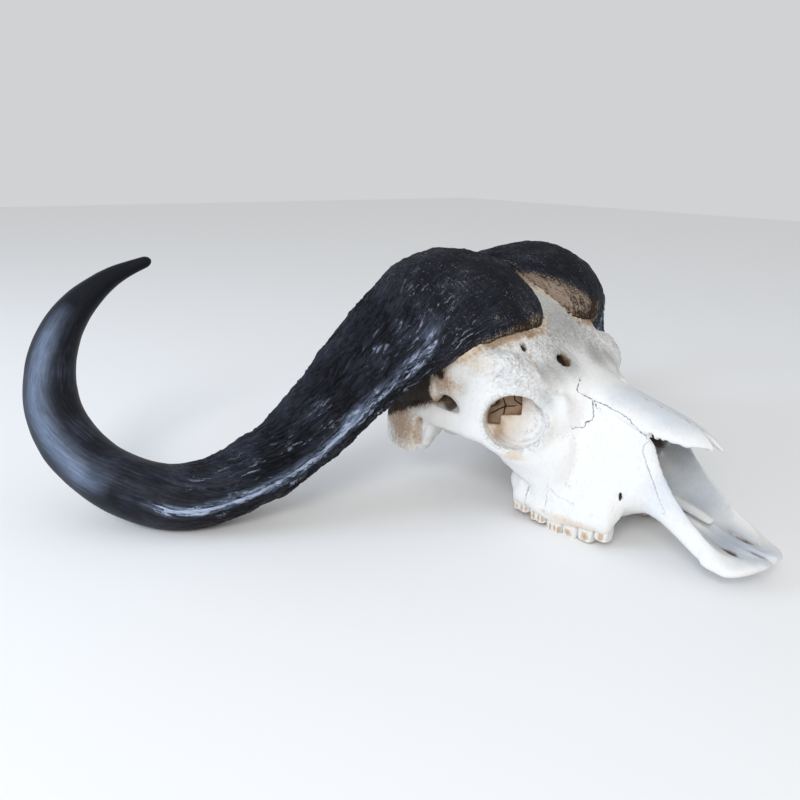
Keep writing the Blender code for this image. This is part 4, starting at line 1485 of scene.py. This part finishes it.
def tooth_outline(lobes):
    """Round a crown: how far out and along, its ribs, its cusps, and where its stain lies."""
    turns = np.linspace(0, 2 * math.pi, TOOTH_AROUND, endpoint=False)
    cosine, sine = np.cos(turns), np.sin(turns)
    out = np.sign(cosine) * np.abs(cosine) ** 0.5
    run = np.sign(sine) * np.abs(sine) ** 0.5
    ribs = bulge(run, -0.9, 0.16) + bulge(run, 0.9, 0.16)
    if lobes == 1:
        ribs = ribs + 0.5 * bulge(run, -0.2, 0.2)
        folds = 0.25 * bulge(run, 0.1, 0.2)
        crown = 1 - run**2
        patch = bulge(run, 0, 0.6)
    else:
        ribs = ribs + bulge(run, 0.0, 0.12)
        folds = bulge(run, 0.0, 0.16)
        crown = np.abs(np.sin(math.pi * run))
        patch = np.where(cosine > 0, np.abs(np.sin(math.pi * run * lobes)), 0.4)
    ribs = np.where(cosine > 0, RIB_HEIGHT * ribs, -FOLD_DEPTH * folds)
    return out, run, ribs, CUSP_HEIGHT * (1 - crown), patch


def chewed_rings(foot, centre):
    """The chewed face, from next to its middle out to the foot of the crown, in low waves."""
    rings = []
    for ring in range(CHEWED_RINGS - 1, 0, -1):
        part = ring / CHEWED_RINGS
        row = centre + (foot - centre) * (1 - part)
        row[:, 2] += 1.6 * math.sin(part * math.pi * 3) * (1 - part)
        rings.append(row)
    return rings


def tooth_piece(side, index):
    """One cheek tooth, counted from the front from nought."""
    length, width = TOOTH_LENGTHS[index], TOOTH_WIDTHS[index]
    share = (sum(TOOTH_LENGTHS[:index]) + length / 2) / sum(TOOTH_LENGTHS)
    x = TOOTH_ROW_FRONT[0] + (TOOTH_ROW_BACK[0] - TOOTH_ROW_FRONT[0]) * share
    y = TOOTH_ROW_FRONT[1] + (TOOTH_ROW_BACK[1] - TOOTH_ROW_FRONT[1]) * share
    out, run, ribs, cusps, patch = tooth_outline(1 if index < PREMOLARS else 2)
    tip, root = TOOTH_TIPS[index], TOOTH_ROOTS[index]
    rows, patches = [], []
    for level in np.linspace(0, 1, TOOTH_LEVELS):
        narrow = 0.92 + 0.08 * math.sin(math.pi * min(level * 1.1, 1) * 0.6) - 0.06 * level**3
        z = root + (tip + cusps * (1 - level) - root) * (1 - level)
        rows.append(np.stack((x + (width / 2 * out + ribs * (1 - 0.5 * level)) * narrow,
                              y + (length / 2 - TOOTH_SPACE) * run * narrow, z), axis=1))
        patches.append(math.exp(-((level - 0.22) / 0.22) ** 2) * patch)
    centre = rows[0].mean(0) + (0, 0, 3.0)
    chewed = chewed_rings(rows[0], centre)
    points = np.vstack((*chewed, *rows, centre, rows[-1].mean(0)))
    points[:, 0] *= SIDES[side]
    faces = ring_faces(len(chewed) + len(rows), TOOTH_AROUND, SIDES[side] < 0)
    tooth = piece_from(f"tooth_{side}_{index + 1}_enamel", points, faces)
    stained = np.full(len(chewed) * TOOTH_AROUND, CHEWED_STAIN)
    note(tooth, "patch", np.concatenate((stained, *patches, (CHEWED_STAIN, 0))))
    return tooth


# %% [markdown]
# ### The finish of the teeth
#
# White enamel, stained orange-brown in the middle of each lobe and near the gum, with fine cracks that
# run up the crown and a brown chewed face. They shine more than bone or horn.

# %% Enamel
ENAMEL = (0.76, 0.745, 0.70, 1)
TOOTH_STAIN = (0.44, 0.23, 0.11, 1)
ENAMEL_TAN = (0.60, 0.45, 0.30, 1)
TOOTH_BROWN = (0.16, 0.08, 0.04, 1)


def tooth_height(here, spot, given):
    ribs = spot.stretched(3.0, 3.0, 18.0).noise(1.0, 3.0) - 0.5
    return ribs * given["Ribs"] + (spot.noise(9.0) - 0.5) * given["Lumps"]


def tooth_finish():
    material, here, shader, spot = new_finish("tooth_finish", Specular_IOR_Level=0.5)
    streaks = spot.stretched(2.2, 2.2, 14.0).noise(1.0, 5.0, 0.6)
    cloud = spot.noise(9.0, 3.0)
    cracks = spot.stretched(5.0, 5.0, 26.0).cells(1.0, "DISTANCE_TO_EDGE").eased(0.05, 0.01)
    grain = spot.noise(2.5, 4.0, 0.7)
    stained = here.attribute("patch") + (cloud - 0.5) * 1.6 + (grain - 0.5) * 1.2
    colour = layered(
        ENAMEL,
        (stained.eased(0.30, 0.80) * 0.9, grain.eased(0.35, 0.6).mix(TOOTH_STAIN, ENAMEL_TAN)),
        ((stained * grain).eased(0.60, 0.85) * 0.7, TOOTH_BROWN),
        (cracks * 0.15, TOOTH_BROWN),
    )
    roughness = 0.25 + streaks * 0.3
    return finish_with(material, shader, colour, roughness, streaks * 0.4 - cracks * 0.2, 0.5)


tooth_sizes = {"Ribs": 0.15, "Lumps": 1.4}
tooth_relief = relief_tree("tooth_relief", tooth_sizes, tooth_height)
enamel_finish = tooth_finish()
teeth = {}
for side in SIDES:
    for index in range(len(TOOTH_LENGTHS)):
        tooth = tooth_piece(side, index)
        raise_relief(tooth, tooth_relief, {**tooth_sizes, "Finish": enamel_finish})
        teeth[side, index] = tooth
print("teeth:", len(teeth), "with triangles each:", 2 * len(tooth.data.polygons))

# %% [markdown]
# ## Join the frame
#
# Each piece hides the plain solid that it stands for and rides on the one body there is.

# %% Ride and replace
dressed = [(skull, "skull", "bone")]
dressed += [(horn, "horn_" + side, "horn") for side, horn in horns.items()]
dressed += [(tooth, f"tooth_{side}_{index + 1}", "tooth") for (side, index), tooth in teeth.items()]
for piece, node, slot in dressed:
    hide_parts(node)
    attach(piece, "root")
print("pieces:", len(dressed))

# %% [markdown]
# ## Floor, light and camera
#
# The floor is a plain pale sheet, many times wider than the skull.

# %% The floor
FLOOR_HALF = 6.0
FLOOR_WHITE = (0.9, 0.9, 0.9, 1)

floor_mesh = bpy.data.meshes.new("floor")
floor_mesh.from_pydata([(x, y, 0.0) for x, y in ((-1, -1), (1, -1), (1, 1), (-1, 1))], [],
                       [(0, 1, 2, 3)])
for vertex in floor_mesh.vertices:
    vertex.co *= FLOOR_HALF
floor = bpy.data.objects.new("floor", floor_mesh)
bpy.context.scene.collection.objects.link(floor)
pale = bpy.data.materials.new("pale_floor")
pale.use_nodes = True
pale_shader = pale.node_tree.nodes["Principled BSDF"]
pale_shader.inputs["Base Color"].default_value = FLOOR_WHITE
pale_shader.inputs["Roughness"].default_value = 0.9
floor_mesh.materials.append(pale)
floor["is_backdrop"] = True

# %% [markdown]
# An even, nearly white sky lights bone and horn from all around. A large soft light stands above and
# in front of the near side, and a bluish one behind it. The Standard view transform shows the colours
# as they are set.

# %% The lights
SKY = (0.96, 0.98, 1.0, 1)
SKY_STRENGTH = 0.66

world = bpy.data.worlds.new("studio")
bpy.context.scene.world = world
world.use_nodes = True
sky = world.node_tree.nodes["Background"]
sky.inputs["Color"].default_value = SKY
sky.inputs["Strength"].default_value = SKY_STRENGTH
bpy.context.scene.view_settings.view_transform = "Standard"

for name, place, size, power, colour in (
    ("key", (-2.2, -1.4, 1.7), 1.0, 36.0, (1.0, 0.985, 0.96)),
    ("rim", (-2.4, 1.2, 0.9), 1.2, 30.0, (0.60, 0.76, 1.0)),
):
    lamp = bpy.data.lights.new(name, "AREA")
    lamp.color = colour
    lamp.size = size
    lamp.energy = power
    light = bpy.data.objects.new(name, lamp)
    light.location = place
    light.rotation_euler = (-Vector(place)).to_track_quat("-Z", "Y").to_euler()
    bpy.context.scene.collection.objects.link(light)

# %% [markdown]
# The camera stands in front of the near side and looks down along the head. It is described in the
# skull's own frame, so it is turned with the skull onto the table.

# %% The camera
CAMERA_AT = (-766.4, -276.3, 389.8)
CAMERA_AHEAD = (0.6306, 0.7124, -0.3078)
CAMERA_UP = (0.1781, 0.2532, 0.9509)
CAMERA_LENS = 35.09

tilt = Matrix.Rotation(BACK_RAISED, 3, "X")
ahead = (tilt @ Vector(CAMERA_AHEAD)).normalized()
aside = ahead.cross(tilt @ Vector(CAMERA_UP)).normalized()
lens = bpy.data.cameras.new("camera")
lens.lens = CAMERA_LENS
lens.sensor_width = 36.0
camera = bpy.data.objects.new("camera", lens)
turned = Matrix((aside, aside.cross(ahead), -ahead)).transposed().to_4x4()
camera.matrix_world = Matrix.Translation(on_table([CAMERA_AT])[0].tolist()) @ turned
bpy.context.scene.collection.objects.link(camera)
bpy.context.scene.camera = camera

# %% [markdown]
# The last cell prints the box of the dressed model and that of the plain one.

# %% Sizes, and the end
dressed_box = [list(corner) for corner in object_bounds()]
for name, box in (("plain", cad_box), ("dressed", dressed_box)):
    print(name, [[round(value, 4) for value in corner] for corner in box])
